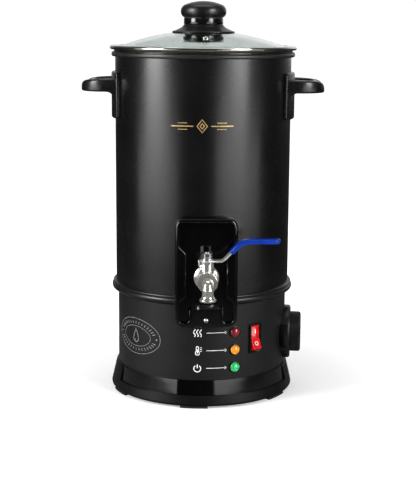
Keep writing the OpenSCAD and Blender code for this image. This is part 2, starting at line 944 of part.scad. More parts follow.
module tap_gaskets() {
  color("#b9b4aa")
    difference() {
      outward(0, tap_z) {
        translate([0, 0, pot_gasket_w])
          tube(gasket_r, nipple_r + tiny, pot_in_r - pot_gasket_w);
        translate([0, 0, panel_w])
          tube(gasket_r - 0.5, nipple_r + tiny, gasket_wall);
      }
      difference() {
        rod(shell_r, floor_z, tap_z + gasket_r + over);
        rod(pot_in_r - tiny, floor_z - over, tap_z + gasket_r + 2 * over);
      }
    }
}

module tap_locknut() {
  color(nickel)
    outward(0, tap_z)
      translate([0, 0, pot_gasket_w - tap_nut_wall])
        difference() {
          cylinder(r = nut_hex_r, h = tap_nut_wall, $fn = 6);
          translate([0, 0, -over])
            cylinder(r = nipple_r + tiny, h = tap_nut_wall + 2 * over);
        }
}

module valve_body() {
  lug_start = 180 + stop_turn;
  lug_end = 90 - stop_turn - lug_turn;
  color(nickel)
    difference() {
      union() {
        outward(0, tap_z) {
          rotate_extrude()
            polygon([
              [0, valve_w], [tap_flange_r, valve_w],
              [tap_flange_r, valve_w + flange_wall - 1],
              [tap_flange_r - 1, valve_w + flange_wall],
              [barrel_r + 1.3, valve_w + flange_wall],
              [barrel_r + 0.6, valve_w + flange_wall + 2.2],
              [barrel_r, valve_w + flange_wall + 2.8],
              [barrel_r, barrel_w], [0, barrel_w]
            ]);
          rod(barrel_r + 0.4, barrel_w - 3, barrel_w - 0.6);
        }
        translate([0, -stem_w, 0]) {
          rod(tap_neck_r, tap_z, neck_top);
          rod(tap_neck_r + 0.6, neck_top - 7.4, neck_top - 6);
          for (start = [lug_start, lug_end])
            rotate([0, 0, start])
              rotate_extrude(angle = lug_turn)
                translate([tap_neck_r - 0.5, neck_top - 5.2])
                  square([stop_r - tap_neck_r + 0.5, 4.6]);
        }
      }
      outward(0, tap_z) {
        rod(nipple_r + tiny, valve_w - over, nipple_end_w);
        rod(nipple_bore_r, nipple_end_w - over, chamber_w + over);
        rod(chamber_r, chamber_w, barrel_w + over);
      }
      translate([0, -stem_w, 0]) {
        rod(stem_r + tiny, tap_z, neck_top + over);
        rod(gland_r + tiny, gland_z, neck_top + over);
      }
    }
}

module valve_seats() {
  color("#f1efe8")
    difference() {
      outward(0, tap_z)
        for (w = [chamber_w, tail_w - seat_wall])
          translate([0, 0, w])
            tube(chamber_r - tiny, spout_bore_r, seat_wall);
      translate([0, -stem_w, tap_z])
        sphere(r = ball_r + tiny);
    }
}

module valve_ball() {
  color(steel)
    translate([0, -stem_w, tap_z])
      difference() {
        sphere(r = ball_r);
        rotate([0, 90, 0])
          translate([0, 0, -2 * ball_r])
            cylinder(r = spout_bore_r, h = 4 * ball_r);
        translate([-2 * ball_r, -tang_wall / 2 - tiny, slot_z - tap_z])
          cube([4 * ball_r, tang_wall + 2 * tiny, ball_r]);
      }
}

module valve_stem() {
  color(nickel)
    translate([0, -stem_w, 0]) {
      rod(stem_r, tap_z + chamber_r + 0.1, lever_z);
      rod(stem_thread_r, lever_z - 0.5, stem_top);
      box_at([2 * stem_r - 0.7, tang_wall, chamber_r - ball_r + 2],
         [0, 0, slot_z + (chamber_r - ball_r + 2) / 2]);
    }
}

module gland_nut() {
  color(nickel)
    translate([0, -stem_w, 0])
      difference() {
        union() {
          translate([0, 0, neck_top])
            hexagon(2 * tap_neck_r - 2, gland_wall);
          rod(gland_r, gland_z + 0.6, neck_top + 0.5);
        }
        rod(stem_r + tiny, gland_z, lever_z);
      }
}

// ---- Tap lever ----

// One edge of the strip, this far above the strip's middle
function lever_edge(above, from_x, to_x) = concat(
  [[from_x, lever_mid_z + above]],
  bend(bend_a, lever_bend_r - above, -90, -90 + slope_angle),
  bend(bend_b, lever_bend_r + above, 90 + slope_angle, 90),
  [[to_x, grip_mid_z + above]]
);

function reversed(points) = [for (i = [len(points) - 1:-1:0]) points[i]];

module lever_ribbon(thickness, width, from_x, to_x) {
  rotate([90, 0, 0])
    linear_extrude(height = width, center = true)
      polygon(concat(lever_edge(thickness / 2, from_x, to_x),
             reversed(lever_edge(-thickness / 2, from_x, to_x))));
}

module lever() {
  color(nickel)
    translate([0, -stem_w, 0])
      difference() {
        union() {
          lever_ribbon(lever_wall, lever_width, 0, strip_end);
          rod(hub_r, lever_z, lever_z + lever_wall);
          box_at([stop_r, 2 * stop_half, lever_wall],
             [-stop_r / 2, 0, lever_mid_z]);
          box_at([stop_wall, 2 * stop_half, lever_z - stop_z + lever_wall],
             [stop_wall / 2 - stop_r, 0, (lever_z + lever_wall + stop_z) / 2]);
        }
        rod(stem_thread_r + tiny, lever_z - over, lever_z + lever_wall + over);
      }
}

// One edge of the sleeve, this far above the strip's middle
function sleeve_edge(above) =
  let (side = [-sin(slope_angle), cos(slope_angle)])
  concat(
    [bend_b + lever_bend_r * side - sleeve_slope * [cos(slope_angle), sin(slope_angle)]
      + above * side],
    bend(bend_b, lever_bend_r + above, 90 + slope_angle, 90),
    [[lever_reach, grip_mid_z + above]]
  );

module lever_sleeve() {
  // Layers of the section: share of the sleeve's height, share of its width
  layers = [[1, 0.66], [0.84, 0.86], [0.56, 1]];
  color("#1c3fb0")
    translate([0, -stem_w, 0])
      difference() {
        intersection() {
          rotate([90, 0, 0])
            for (layer = layers)
              linear_extrude(height = sleeve_width * layer[1], center = true)
                polygon(concat(sleeve_edge(sleeve_height / 2 * layer[0]),
                  reversed(sleeve_edge(-sleeve_height / 2 * layer[0]))));
          translate([0, 0, lever_mid_z])
            linear_extrude(height = lever_rise + sleeve_height) {
              translate([0, -sleeve_width])
                square([lever_reach - sleeve_width / 2, 2 * sleeve_width]);
              translate([lever_reach - sleeve_width / 2, 0])
                circle(d = sleeve_width);
            }
        }
        lever_ribbon(lever_wall + 2 * tiny, lever_width + 2 * tiny, 0, strip_end + tiny);
      }
}

module lever_nut() {
  color(steel)
    translate([0, -stem_w, 0])
      difference() {
        union() {
          rod(hub_r, nut_z, nut_z + nut_flange);
          translate([0, 0, nut_z + nut_flange])
            hexagon(9, lever_nut_height);
        }
        rod(stem_thread_r + tiny, nut_z - over, stem_top);
      }
}

// ---- Spout ----

module spout_elbow() {
  spout_z = tap_z - spout_bend_r;
  color(nickel)
    difference() {
      union() {
        outward(0, tap_z) {
          rod(chamber_r - tiny, tail_w, barrel_w);
          rod(barrel_r - 0.3, barrel_w, barrel_w + elbow_ring);
          rod(spout_r, barrel_w, spout_w - spout_bend_r);
        }
        translate([0, spout_bend_r - spout_w, spout_z])
          rotate([90, 0, -90])
            rotate_extrude(angle = 90)
              translate([spout_bend_r, 0])
                circle(r = spout_r);
        translate([0, -spout_w, 0])
          rod(spout_r, nozzle_z + nozzle_height, spout_z);
      }
      outward(0, tap_z)
        rod(spout_bore_r, tail_w - over, spout_w - spout_bend_r);
      translate([0, spout_bend_r - spout_w, spout_z])
        rotate([90, 0, -90])
          rotate_extrude(angle = 90)
            translate([spout_bend_r, 0])
              circle(r = spout_bore_r);
      translate([0, -spout_w, 0])
        rod(spout_bore_r, nozzle_z, spout_z);
    }
}

module spout_nozzle() {
  color(nickel)
    translate([0, -spout_w, nozzle_z])
      rotate_extrude()
        polygon([
          [spout_bore_r, 0], [nozzle_r - 0.5, 0], [nozzle_r, 0.5], [nozzle_r, 2.2],
          [nozzle_r - 1.3, 3.4], [spout_r + 0.5, nozzle_height - 0.6],
          [spout_r + 0.2, nozzle_height], [spout_bore_r, nozzle_height]
        ]);
}

// ---- Handles ----

module handle() {
  inner_x = grip_reach - grip_width;
  inner_y = grip_half - grip_width;
  start_x = shell_r * cos(saddle_angle) - 2;
  leg_x = saddle_r * cos(screw_angle);
  color(satin_black)
    difference() {
      union() {
        sector(0, saddle_angle)
          polygon([
            [shell_r + tiny, saddle_z], [saddle_r - 1, saddle_z],
            [saddle_r, saddle_z + 1], [saddle_r, saddle_top - 1],
            [saddle_r - 1, saddle_top], [shell_r + tiny, saddle_top]
          ]);
        intersection() {
          translate([0, 0, grip_z])
            linear_extrude(height = grip_height)
              difference() {
                round_rect(2 * grip_reach, 2 * grip_half, grip_corner);
                square([2 * start_x, 2 * grip_half], center = true);
                round_rect(2 * inner_x, 2 * inner_y, 6);
              }
          rotate([90, 0, 0])
            linear_extrude(height = 2 * grip_half + over, center = true)
              polygon([
                [0, grip_z], [grip_reach, grip_z],
                [grip_reach, grip_top - grip_fall],
                [grip_reach - 0.6, grip_top - 0.69 * grip_fall],
                [grip_reach - 1.8, grip_top - 0.47 * grip_fall],
                [grip_reach - 4, grip_top - 0.32 * grip_fall],
                [grip_reach - 8, grip_top - 0.21 * grip_fall],
                [grip_reach - 16, grip_top - 0.1 * grip_fall],
                [grip_reach - 30, grip_top], [0, grip_top]
              ]);
        }
        for (side = [-1, 1])
          translate([0, side * (grip_half - grip_width / 2), 0])
            rotate([90, 0, 0])
              linear_extrude(height = grip_width, center = true)
                difference() {
                  translate([start_x, grip_z - gusset_r])
                    square([leg_x + gusset_r - start_x, gusset_r + 1]);
                  translate([leg_x + gusset_r, grip_z - gusset_r])
                    circle(r = gusset_r);
                }
      }
      rod(shell_r + tiny, saddle_z - over, saddle_top + over);
      for (turn = [-screw_angle, screw_angle])
        outward(90 + turn, handle_screw_z)
          rod(handle_screw_r + tiny, shell_in_r, shell_r + handle_screw_depth + 1);
    }
}

module handle_right() {
  rotate([0, 0, -handle_turn])
    handle();
}

module handle_left() {
  rotate([0, 0, 180 - handle_turn])
    handle();
}

module handle_screws() {
  head = 2;
  color(steel)
    handle_screw_places() {
      rod(2 * handle_screw_r, shell_in_r - head - 0.1, shell_in_r - 0.1);
      rod(handle_screw_r, shell_in_r - 1, shell_r + handle_screw_depth);
    }
}

// ---- Lid ----

// Section of the dome's ball, this far inside the glass's outer face
module dome_section(inset) {
  translate([0, dome_z])
    circle(r = dome_r - inset, $fn = dome_fn);
}

module lid_glass() {
  color("#bcd0cc", 0.4)
    difference() {
      rotate_extrude()
        intersection() {
          translate([0, lid_z + lid_sheet + tiny])
            square([glass_r, dome_top - lid_z + over]);
          difference() {
            dome_section(0);
            dome_section(glass_wall);
          }
        }
      rod(knob_screw_r + 1, lid_z, dome_top + over);
      translate([0, 0, dome_z])
        rotate([vent_tilt, 0, 0])
          rod(vent_r - 1, dome_r - 2 * glass_wall, dome_r + over);
    }
}

// Sheet steel rolled round the glass, a flat seat on the pot's rim and a lip inside it
module lid_rim() {
  channel_r = glass_r + 0.1;
  edge_r = lid_edge_height / 2;
  color(steel)
    rotate_extrude() {
      translate([lid_r - edge_r, lid_edge_z + edge_r])
        circle(r = edge_r);
      translate([channel_r, lid_edge_z])
        square([lid_r - edge_r - channel_r, lid_edge_height]);
      translate([channel_r, lid_z])
        square([4, lid_edge_z - lid_z + 0.5]);
      translate([glass_r - glass_lap, lid_top - glass_lap_wall])
        square([glass_lap + 0.5, glass_lap_wall]);
      translate([lid_lip_r - lid_sheet, lid_z])
        square([channel_r + 0.5 - lid_lip_r + lid_sheet, lid_sheet]);
      translate([lid_lip_r - lid_sheet, lid_z - lip_depth])
        square([lid_sheet, lip_depth + lid_sheet]);
    }
}

module lid_vent() {
  color(steel)
    translate([0, 0, dome_z])
      rotate([vent_tilt, 0, 0])
        difference() {
          union() {
            rod(vent_r, dome_r + 0.1, dome_r + 0.8);
            rod(vent_r - 1.1, dome_r - glass_wall - 0.8, dome_r + 0.5);
            rod(vent_r - 0.2, dome_r - glass_wall - 0.8, dome_r - glass_wall - 0.15);
          }
          rod(1.5, dome_r - 2 * glass_wall, dome_r + 2);
        }
}

module lid_seat() {
  color(satin_black)
    rotate_extrude()
      intersection() {
        polygon([
          [knob_screw_r + tiny, seat_z], [seat_r - 0.8, seat_z],
          [seat_r, seat_z + 0.8], [seat_r, dome_top], [knob_screw_r + tiny, dome_top]
        ]);
        dome_section(glass_wall + tiny);
      }
}

module lid_screw() {
  head = 2.2;
  color(steel) {
    rod(knob_screw_r, seat_z - 0.5, neck_z + 4);
    difference() {
      rod(2 * knob_screw_r, seat_z - head, seat_z);
      box_at([4.6, 0.9, 1.8], [0, 0, seat_z - head]);
      box_at([0.9, 4.6, 1.8], [0, 0, seat_z - head]);
    }
  }
}

// ---- Knob ----

module knob_skirt() {
  color(satin_black)
    rotate_extrude()
      difference() {
        polygon([
          [knob_screw_r + tiny, flare_z], [neck_r, flare_z], [neck_r + 1.2, flare_z - 2],
          [neck_r + 4.2, flare_z - 4.2], [flare_r - 3.4, flare_z - 6.5],
          [flare_r - 0.4, flare_z - 7.6], [flare_r, flare_z - 8.2],
          [flare_r - 0.3, flare_z - 9.2], [knob_screw_r + tiny, flare_z - 9.2]
        ]);
        dome_section(-tiny);
      }
}

module knob_ring() {
  color(gloss_black)
    difference() {
      union() {
        rod(neck_r, flare_z + 0.4, neck_z - 0.4);
        rod(neck_r - 0.4, flare_z, neck_z);
      }
      rod(knob_screw_r + tiny, flare_z - over, neck_z + over);
    }
}

module knob_cap() {
  color(satin_black)
    difference() {
      rotate_extrude() {
        intersection() {
          translate([cap_mid_r, neck_z + 6.8])
            circle(r = cap_round);
          translate([0, neck_z])
            square([knob_r + over, cap_height]);
        }
        translate([0, neck_z])
          square([cap_mid_r, cap_dome_z - neck_z]);
        intersection() {
          translate([0, knob_top - cap_dome_r])
            circle(r = cap_dome_r);
          translate([0, cap_dome_z - 0.5])
            square([cap_mid_r, cap_dome_h + 1]);
        }
      }
      rod(knob_screw_r + tiny, neck_z - over, neck_z + 5);
    }
}

// ---- Thermostat ----

module dial_bezel() {
  color(satin_black)
    difference() {
      outward(dial_angle, dial_z) {
        rod(bezel_r, housing_in_r - 6, bezel_w - 1);
        rod(bezel_r - 1, bezel_w - 1.5, bezel_w);
      }
      rod(housing_r + tiny, housing_z - over, seam_z + over);
      outward(dial_angle, dial_z) {
        rod(shaft_r + 2, housing_in_r, bezel_w + over);
        for (x = [-1, 1])
          translate([x * thermo_screw_at, 0, 0])
            rod(2 * thermo_screw_r + 0.4, housing_in_r - 6, housing_r + 2.2);
      }
    }
}

module thermostat_dial() {
  rib_depth = 0.6;
  cap_wall = 1.6;
  cap_r = dial_r - rib_depth - 0.2;
  color(satin_black)
    outward(dial_angle, dial_z)
      difference() {
        union() {
          translate([0, 0, dial_w])
            linear_extrude(height = dial_depth - cap_wall)
              polygon([
                for (i = [0:2 * rib_count - 1])
                  (dial_r - rib_depth * (i % 2))
                    * [cos(180 * i / rib_count), sin(180 * i / rib_count)]
              ]);
          translate([0, 0, dial_end_w - cap_wall])
            rotate_extrude()
              polygon([
                [0, -0.2], [cap_r, -0.2], [cap_r, 0.3],
                [cap_r - 0.8, 1.1], [cap_r - 3, cap_wall], [0, cap_wall]
              ]);
        }
        rod(shaft_r + tiny, dial_w - over, dial_end_w - 2.5);
        box_at([1.6, 9, 1], [0, dial_r - 6, dial_end_w]);
      }
}

module thermostat_shaft() {
  color(steel)
    outward(dial_angle, dial_z)
      rod(shaft_r, thermo_w - 8, dial_end_w - 3);
}

module thermostat_body() {
  depth = thermo_depth;
  color("#c8bfa6")
    outward(dial_angle, dial_z)
      difference() {
        union() {
          box_at([36, 2 * thermo_half, depth], [0, 0, thermo_mid_w]);
          box_at([42, 14, bracket_wall], [0, 0, thermo_w - bracket_wall / 2]);
          rod(4.6, thermo_w - 1, housing_in_r + 1.5);
          for (x = [-9, 0, 9])
            box_at([6.3, 0.8, 10], [x, -12, thermo_back_w + 5]);
        }
        rod(shaft_r + tiny, thermo_w - 9, housing_r);
        for (x = [-1, 1])
          translate([x * thermo_screw_at, 0, 0])
            rod(thermo_screw_r + tiny, thermo_w - 8, thermo_w + over);
      }
}

module thermostat_screws() {
  color(steel)
    outward(dial_angle, dial_z)
      for (x = [-1, 1])
        translate([x * thermo_screw_at, 0, 0]) {
          rod(thermo_screw_r, thermo_w - 7, housing_r - 0.5);
          rod(2 * thermo_screw_r, housing_r - 0.5, housing_r + 1.7);
        }
}

module thermostat_probe() {
  bulb_z = heater_z - bulb_r;
  low_z = seam_z - 12;
  end = out_point(dial_angle, 0, [8, 0, thermo_mid_w]);
  color("#b87333") {
    translate([-24, bulb_at, bulb_z])
      rotate([0, 90, 0])
        cylinder(r = bulb_r, h = 48);
    run_of_rods([
      [0, bulb_at, bulb_z], [0, bulb_at, low_z], [end[0], end[1], low_z],
      [end[0], end[1], dial_z + thermo_half]
    ], 0.8);
  }
}

// ---- Switch ----

// The frame's own axes: X across, Y up, Z the distance from the pivot straight out
module at_switch() {
  outward(switch_angle, switch_z)
    translate([0, 0, pivot_w])
      children();
}

module switch_frame() {
  front = housing_r - pivot_w + tiny;
  back = switch_back;
  color(gloss_black)
    at_switch()
      difference() {
        union() {
          translate([0, 0, front])
            linear_extrude(height = frame_wall)
              round_rect(frame_width, frame_length, 1.2);
          box_at([frame_body_w, frame_body_l, front + back],
             [0, 0, (front - back) / 2]);
        }
        box_at([rocker_w + 2 * loose, 2 * (rocker_r + loose), front + frame_wall + 7.5],
           [0, 0, (front + frame_wall + 1 - 7.5) / 2]);
        rotate([0, 90, 0])
          translate([0, 0, -frame_width / 2])
            cylinder(r = pivot_r + tiny, h = frame_width, $fn = 48);
      }
}

// Side of the rocker: a shallow V in front, round ends that swing past the frame
function rocker_side() =
  let (low = -10, steps = 6, front = 3.4)
  concat(
    [[0, front]],
    [for (i = [0:steps]) let (a = rocker_corner + (low - rocker_corner) * i / steps)
      rocker_r * [cos(a), sin(a)]],
    [[4, -4.2], [-4, -4.2]],
    [for (i = [0:steps]) let (a = 180 - low + (rocker_corner - low) * -i / steps)
      rocker_r * [cos(a), sin(a)]]
  );

module switch_rocker() {
  color("#c01818")
    at_switch()
      rotate([-rocker_tilt, 0, 0]) {
        rotate([90, 0, 90])
          linear_extrude(height = rocker_w, center = true)
            polygon(rocker_side());
        rotate([0, 90, 0])
          translate([0, 0, -rocker_w / 2 - 1])
            cylinder(r = pivot_r, h = rocker_w + 2, $fn = 48);
      }
}

module switch_terminals() {
  color("#c9b27a")
    at_switch()
      for (y = [-9, 0, 9])
        box_at([4.8, 0.8, blade], [0, y, -switch_back - blade / 2]);
}

// ---- Lamps ----

module lamp_lens(i) {
  seat = housing_r + tiny + 0.6;
  dome = 2.6;
  ball = (pow(lens_r, 2) + pow(dome, 2)) / (2 * dome);
  outward(lamp_angle, lamp_z[i]) {
    rod(lens_r, seat, seat + 1.4);
    intersection() {
      rod(lens_r, seat + 1, seat + 1.4 + dome);
      translate([0, 0, seat + 1.4 + dome - ball])
        sphere(r = ball);
    }
  }
}

module lamp_lens_heating() {
  color("#6e1016")
    lamp_lens(0);
}

module lamp_lens_insulation() {
  color("#e08a12")
    lamp_lens(1);
}

module lamp_lens_standby() {
  color("#1fa04a")
    lamp_lens(2);
}

module lamp_bodies() {
  seat = housing_r + tiny;
  color(gloss_black)
    for (z = lamp_z)
      outward(lamp_angle, z) {
        rod(lamp_body_r, seat - lamp_body_depth, seat + 0.3);
        rod(lamp_rim_r, seat, seat + 0.6);
        translate([0, 0, seat + 0.3])
          tube(lamp_rim_r, lens_r + tiny, 1.2);
        for (x = [-2, 2])
          box_at([0.6, 2.8, 7], [x, 0, seat - lamp_body_depth - 3]);
      }
}

// ---- Mains side ----

// Height of the wires in the block, and where one way's wire enters it
block_wire_z = ledge_z + 6;
function block_way(i, side) =
  [block_x + (i - 1.5) * block_pitch, block_y + side * (block_half - 3), block_wire_z];

module terminal_block() {
  color("#e6e3da")
    difference() {
      translate([block_x - 2 * block_pitch, block_y - block_half, ledge_z])
        cube([4 * block_pitch, 2 * block_half, 14]);
      for (i = [0:3]) {
        translate(block_way(i, 0) + [0, 0, 3])
          cylinder(r = 2.6, h = 6, $fn = 32);
        translate(block_way(i, 0) - [0, block_half + 2, 0])
          rotate([-90, 0, 0])
            cylinder(r = wire_r + tiny, h = 2 * block_half + 4, $fn = 32);
      }
    }
}

module inlet_body() {
  color(gloss_black)
    outward(180, inlet_z)
      difference() {
        union() {
          translate([0, 0, inlet_seat_w])
            linear_extrude(height = inlet_flange)
              round_rect(inlet_length, inlet_width, 4);
          translate([0, 0, inlet_seat_w - inlet_depth])
            linear_extrude(height = inlet_depth + 0.5)
              round_rect(inlet_body_l, inlet_body_w, 2);
        }
        translate([0, 0, inlet_seat_w + inlet_flange - socket_depth])
          linear_extrude(height = socket_depth + over)
            polygon([
              [-socket_l / 2, -socket_w / 2], [socket_l / 2, -socket_w / 2],
              [socket_l / 2, socket_w / 2 - 4], [socket_l / 2 - 4, socket_w / 2],
              [4 - socket_l / 2, socket_w / 2], [-socket_l / 2, socket_w / 2 - 4]
            ]);
        for (x = [-1, 1])
          translate([x * inlet_screw_pitch / 2, 0, 0])
            rod(1.6, inlet_seat_w - over, inlet_seat_w + inlet_flange + over);
        for (pin = pins)
          box_at([2.1, 4.1, 3 * inlet_depth], [pin[0], pin[1], pin_back_w]);
      }
}

module inlet_pins() {
  color("#c9b27a")
    outward(180, inlet_z)
      for (pin = pins)
        box_at([2, 4, pin_length], [pin[0], pin[1], pin_back_w + pin_length / 2]);
}

module inlet_screws() {
  color(steel)
    outward(180, inlet_z)
      for (x = [-1, 1])
        translate([x * inlet_screw_pitch / 2, 0, 0]) {
          rod(1.5, inlet_seat_w - 9, inlet_seat_w + inlet_flange + 0.2);
          difference() {
            rod(2.8, inlet_seat_w + inlet_flange, inlet_seat_w + inlet_flange + 1.6);
            box_at([3.4, 0.7, 1.6], [0, 0, inlet_seat_w + inlet_flange + 1.6]);
            box_at([0.7, 3.4, 1.6], [0, 0, inlet_seat_w + inlet_flange + 1.6]);
          }
        }
}

// Leads inside the base: each leaves its terminal straight, then runs on in straight stretches
function from_pin(i, inward) =
  out_point(180, inlet_z, [pins[i][0], pins[i][1], pin_back_w - inward]);
function from_switch(y, inward) =
  out_point(switch_angle, switch_z, [0, y, pivot_w - switch_back - blade - inward]);
function from_thermostat(x, inward) =
  out_point(dial_angle, dial_z, [x, -12, thermo_back_w - inward]);
function from_cutout(x, down) = [cutout_at + x, 0, heater_z - 18 - down];
function from_element(side, down) = [
  side * element_loop_r * sin(element_gap_angle + 4),
  element_loop_r * cos(element_gap_angle + 4), seam_z - 14 - down
];
function into_block(i, side) = [
  block_way(i, side) + side * [0, 10, 0] + [0, 0, 3],
  block_way(i, side) + side * [0, 6, 0], block_way(i, side)
];

wire_routes = [
  concat([from_pin(2, 0), from_pin(2, 5)], into_block(0, 1)),
  concat([from_pin(1, 0), from_pin(1, 5)], into_block(1, 1)),
  concat([from_pin(0, 0), from_pin(0, 5)], into_block(2, 1)),
  concat([from_switch(-9, 0), from_switch(-9, 6), [6, -20, 30]], into_block(0, -1)),
  [from_switch(9, 0), from_switch(9, 6), from_thermostat(-9, 8), from_thermostat(-9, 0)],
  [from_thermostat(9, 0), from_thermostat(9, 6), from_cutout(5, 20), from_cutout(5, 0)],
  [from_cutout(-5, 0), from_cutout(-5, 6), from_element(-1, 8), from_element(-1, 0)],
  concat([from_element(1, 0), from_element(1, 8)], into_block(3, 1))
];

module wires() {
  color("#d8d4c8")
    for (route = wire_routes)
      run_of_rods(route, wire_r);
}

outer_shell();
inner_pot();
insulation_wrap();
heating_plate();
heating_element();
heat_shield();
thermal_cutout();
joint_ring();
base_housing();
base_skirt();
base_trim();
bottom_cover();
feet();
bottom_screws();
tap_plate();
tap_plate_screw();
tap_nipple();
tap_gaskets();
tap_locknut();
valve_body();
valve_seats();
valve_ball();
valve_stem();
gland_nut();
lever();
lever_sleeve();
lever_nut();
spout_elbow();
spout_nozzle();
handle_left();
handle_right();
handle_screws();
lid_glass();
lid_rim();
lid_vent();
lid_seat();
lid_screw();
knob_skirt();
knob_ring();
knob_cap();
dial_bezel();
thermostat_dial();
thermostat_shaft();
thermostat_body();
thermostat_screws();
thermostat_probe();
switch_frame();
switch_rocker();
switch_terminals();
lamp_lens_heating();
lamp_lens_insulation();
lamp_lens_standby();
lamp_bodies();
terminal_block();
inlet_body();
inlet_pins();
inlet_screws();
wires();
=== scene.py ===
import json
from math import atan2, cos, pi, radians, sin, sqrt, tan

import bmesh
import bpy
from mathutils import Matrix, Vector


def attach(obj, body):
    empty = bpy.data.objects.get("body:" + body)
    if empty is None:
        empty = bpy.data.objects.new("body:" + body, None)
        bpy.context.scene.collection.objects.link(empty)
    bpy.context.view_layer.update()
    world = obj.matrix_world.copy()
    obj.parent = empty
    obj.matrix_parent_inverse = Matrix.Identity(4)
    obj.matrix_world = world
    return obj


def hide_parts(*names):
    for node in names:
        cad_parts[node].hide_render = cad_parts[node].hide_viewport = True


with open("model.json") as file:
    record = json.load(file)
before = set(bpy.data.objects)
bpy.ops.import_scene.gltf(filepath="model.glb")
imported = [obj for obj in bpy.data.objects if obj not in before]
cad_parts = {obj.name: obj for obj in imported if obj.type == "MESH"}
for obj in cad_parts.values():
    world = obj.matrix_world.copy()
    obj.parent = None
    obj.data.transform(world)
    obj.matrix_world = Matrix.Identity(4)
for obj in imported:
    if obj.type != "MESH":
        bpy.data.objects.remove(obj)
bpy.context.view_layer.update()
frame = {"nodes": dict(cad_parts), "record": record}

nodes = frame["nodes"]
bodyOf = {node: body for body, members in frame["record"]["behaviour"]["bodies"].items() for node in members}
mm = 0.001
print("frame loaded,", len(nodes), "CAD nodes")


# The camera's place is worked out from the photograph: mm and degrees, and clip in metres
camera = {"distance": 1317.3, "height": 400.4, "azimuth": -2.75, "down": 10.5, "roll": 0.403, "aside": 6.37,
          "lens": 90, "sensor": 36, "clip": (0.05, 60)}


def placed(name, data):
    thing = bpy.data.objects.new(name, data)
    bpy.context.scene.collection.objects.link(thing)
    return thing


def standing(look):
    # A place given by its azimuth from the tap towards the dial, its distance and its height
    turn = radians(look["azimuth"])
    return Vector((sin(turn), -cos(turn), 0)) * look["distance"] + Vector((0, 0, look["height"]))


def makeCamera(look):
    turn = radians(look["azimuth"])
    place = standing(look) + Vector((cos(turn), sin(turn), 0)) * look["aside"]
    data = bpy.data.cameras.new("photoCamera")
    data.lens = look["lens"]
    data.sensor_fit = "VERTICAL"
    data.sensor_height = data.sensor_width = look["sensor"]
    data.clip_start, data.clip_end = look["clip"]
    eye = placed("photoCamera", data)
    eye.matrix_world = (Matrix.Translation(place * mm) @ Matrix.Rotation(turn, 4, "Z")
                        @ Matrix.Rotation(radians(90 - look["down"]), 4, "X")
                        @ Matrix.Rotation(radians(look["roll"]), 4, "Z"))
    bpy.context.scene.camera = eye


makeCamera(camera)


def linear(hexColour):
    parts = [int(hexColour[i:i + 2], 16) / 255 for i in (1, 3, 5)]
    return [p / 12.92 if p <= 0.04045 else ((p + 0.055) / 1.055) ** 2.4 for p in parts] + [1.0]


def addNode(tree, kind, values=None, links=None, **settings):
    node = tree.nodes.new("ShaderNode" + kind)
    for key, value in settings.items():
        setattr(node, key, value)
    for key, value in (values or {}).items():
        node.inputs[key].default_value = value
    for key, source in (links or {}).items():
        tree.links.new(source, node.inputs[key])
    return node


def spans(given, wanted):
    # A map range's four values
    return dict(zip(("From Min", "From Max", "To Min", "To Max"), (*given, *wanted)))


# Each side has a tall box for the pot's upright highlight, a narrow one that carries it on downwards and a
# wide low one for the base; the ceiling box lights the floor and the lid. Metres and degrees; a box faces the
# pot's axis at its own height unless it has an aim
softboxes = {
    "leftBox": {"azimuth": -65, "distance": 1.3, "height": 0.77, "size": (0.5, 0.9), "power": 21.5},
    "leftMiddle": {"azimuth": -62, "distance": 1.3, "height": 0.235, "size": (0.8, 0.17), "power": 1.45},
    "leftFoot": {"azimuth": -62, "distance": 1.3, "height": 0.08, "size": (1.42, 0.14), "power": 1.9},
    "rightBox": {"azimuth": 45, "distance": 1.3, "height": 0.77, "size": (0.5, 0.9), "power": 15.5,
                 "lean": -10},
    "rightMiddle": {"azimuth": 37, "distance": 1.3, "height": 0.235, "size": (0.8, 0.17), "power": 1.2},
    "rightFoot": {"azimuth": 44, "distance": 1.3, "height": 0.08, "size": (1.5, 0.14), "power": 1.9},
    "ceiling": {"azimuth": 170, "distance": 0.2, "height": 1.7, "size": (1.2, 0.9), "power": 6, "aim": 0.0},
}


def makeLights(boxes):
    for name, look in boxes.items():
        data = bpy.data.lights.new(name, "AREA")
        data.shape, (data.size, data.size_y) = "RECTANGLE", look["size"]
        data.energy = look["power"]
        lamp = placed(name, data)
        place = standing(look)
        aim = Vector((0, 0, look.get("aim", look["height"])))
        facing = (aim - place).to_track_quat("-Z", "Y").to_matrix().to_4x4()
        lean = Matrix.Rotation(radians(look.get("lean", 0)), 4, "Z")
        lamp.matrix_world = Matrix.Translation(place) @ facing @ lean


# A dim room round the softboxes, a little lighter above, and the lit paper that hangs behind the melter:
# paperWay points to it, its light starts at the cosine paperEdge and gathers by the power paperFall
studio = {"low": 0.01, "high": 0.12, "shade": (-0.4, 0.9), "paperWay": (0.276, 0.961, 0.0), "paperEdge": 0.45,
          "paperFall": 2.5, "paperSeen": 1.05}


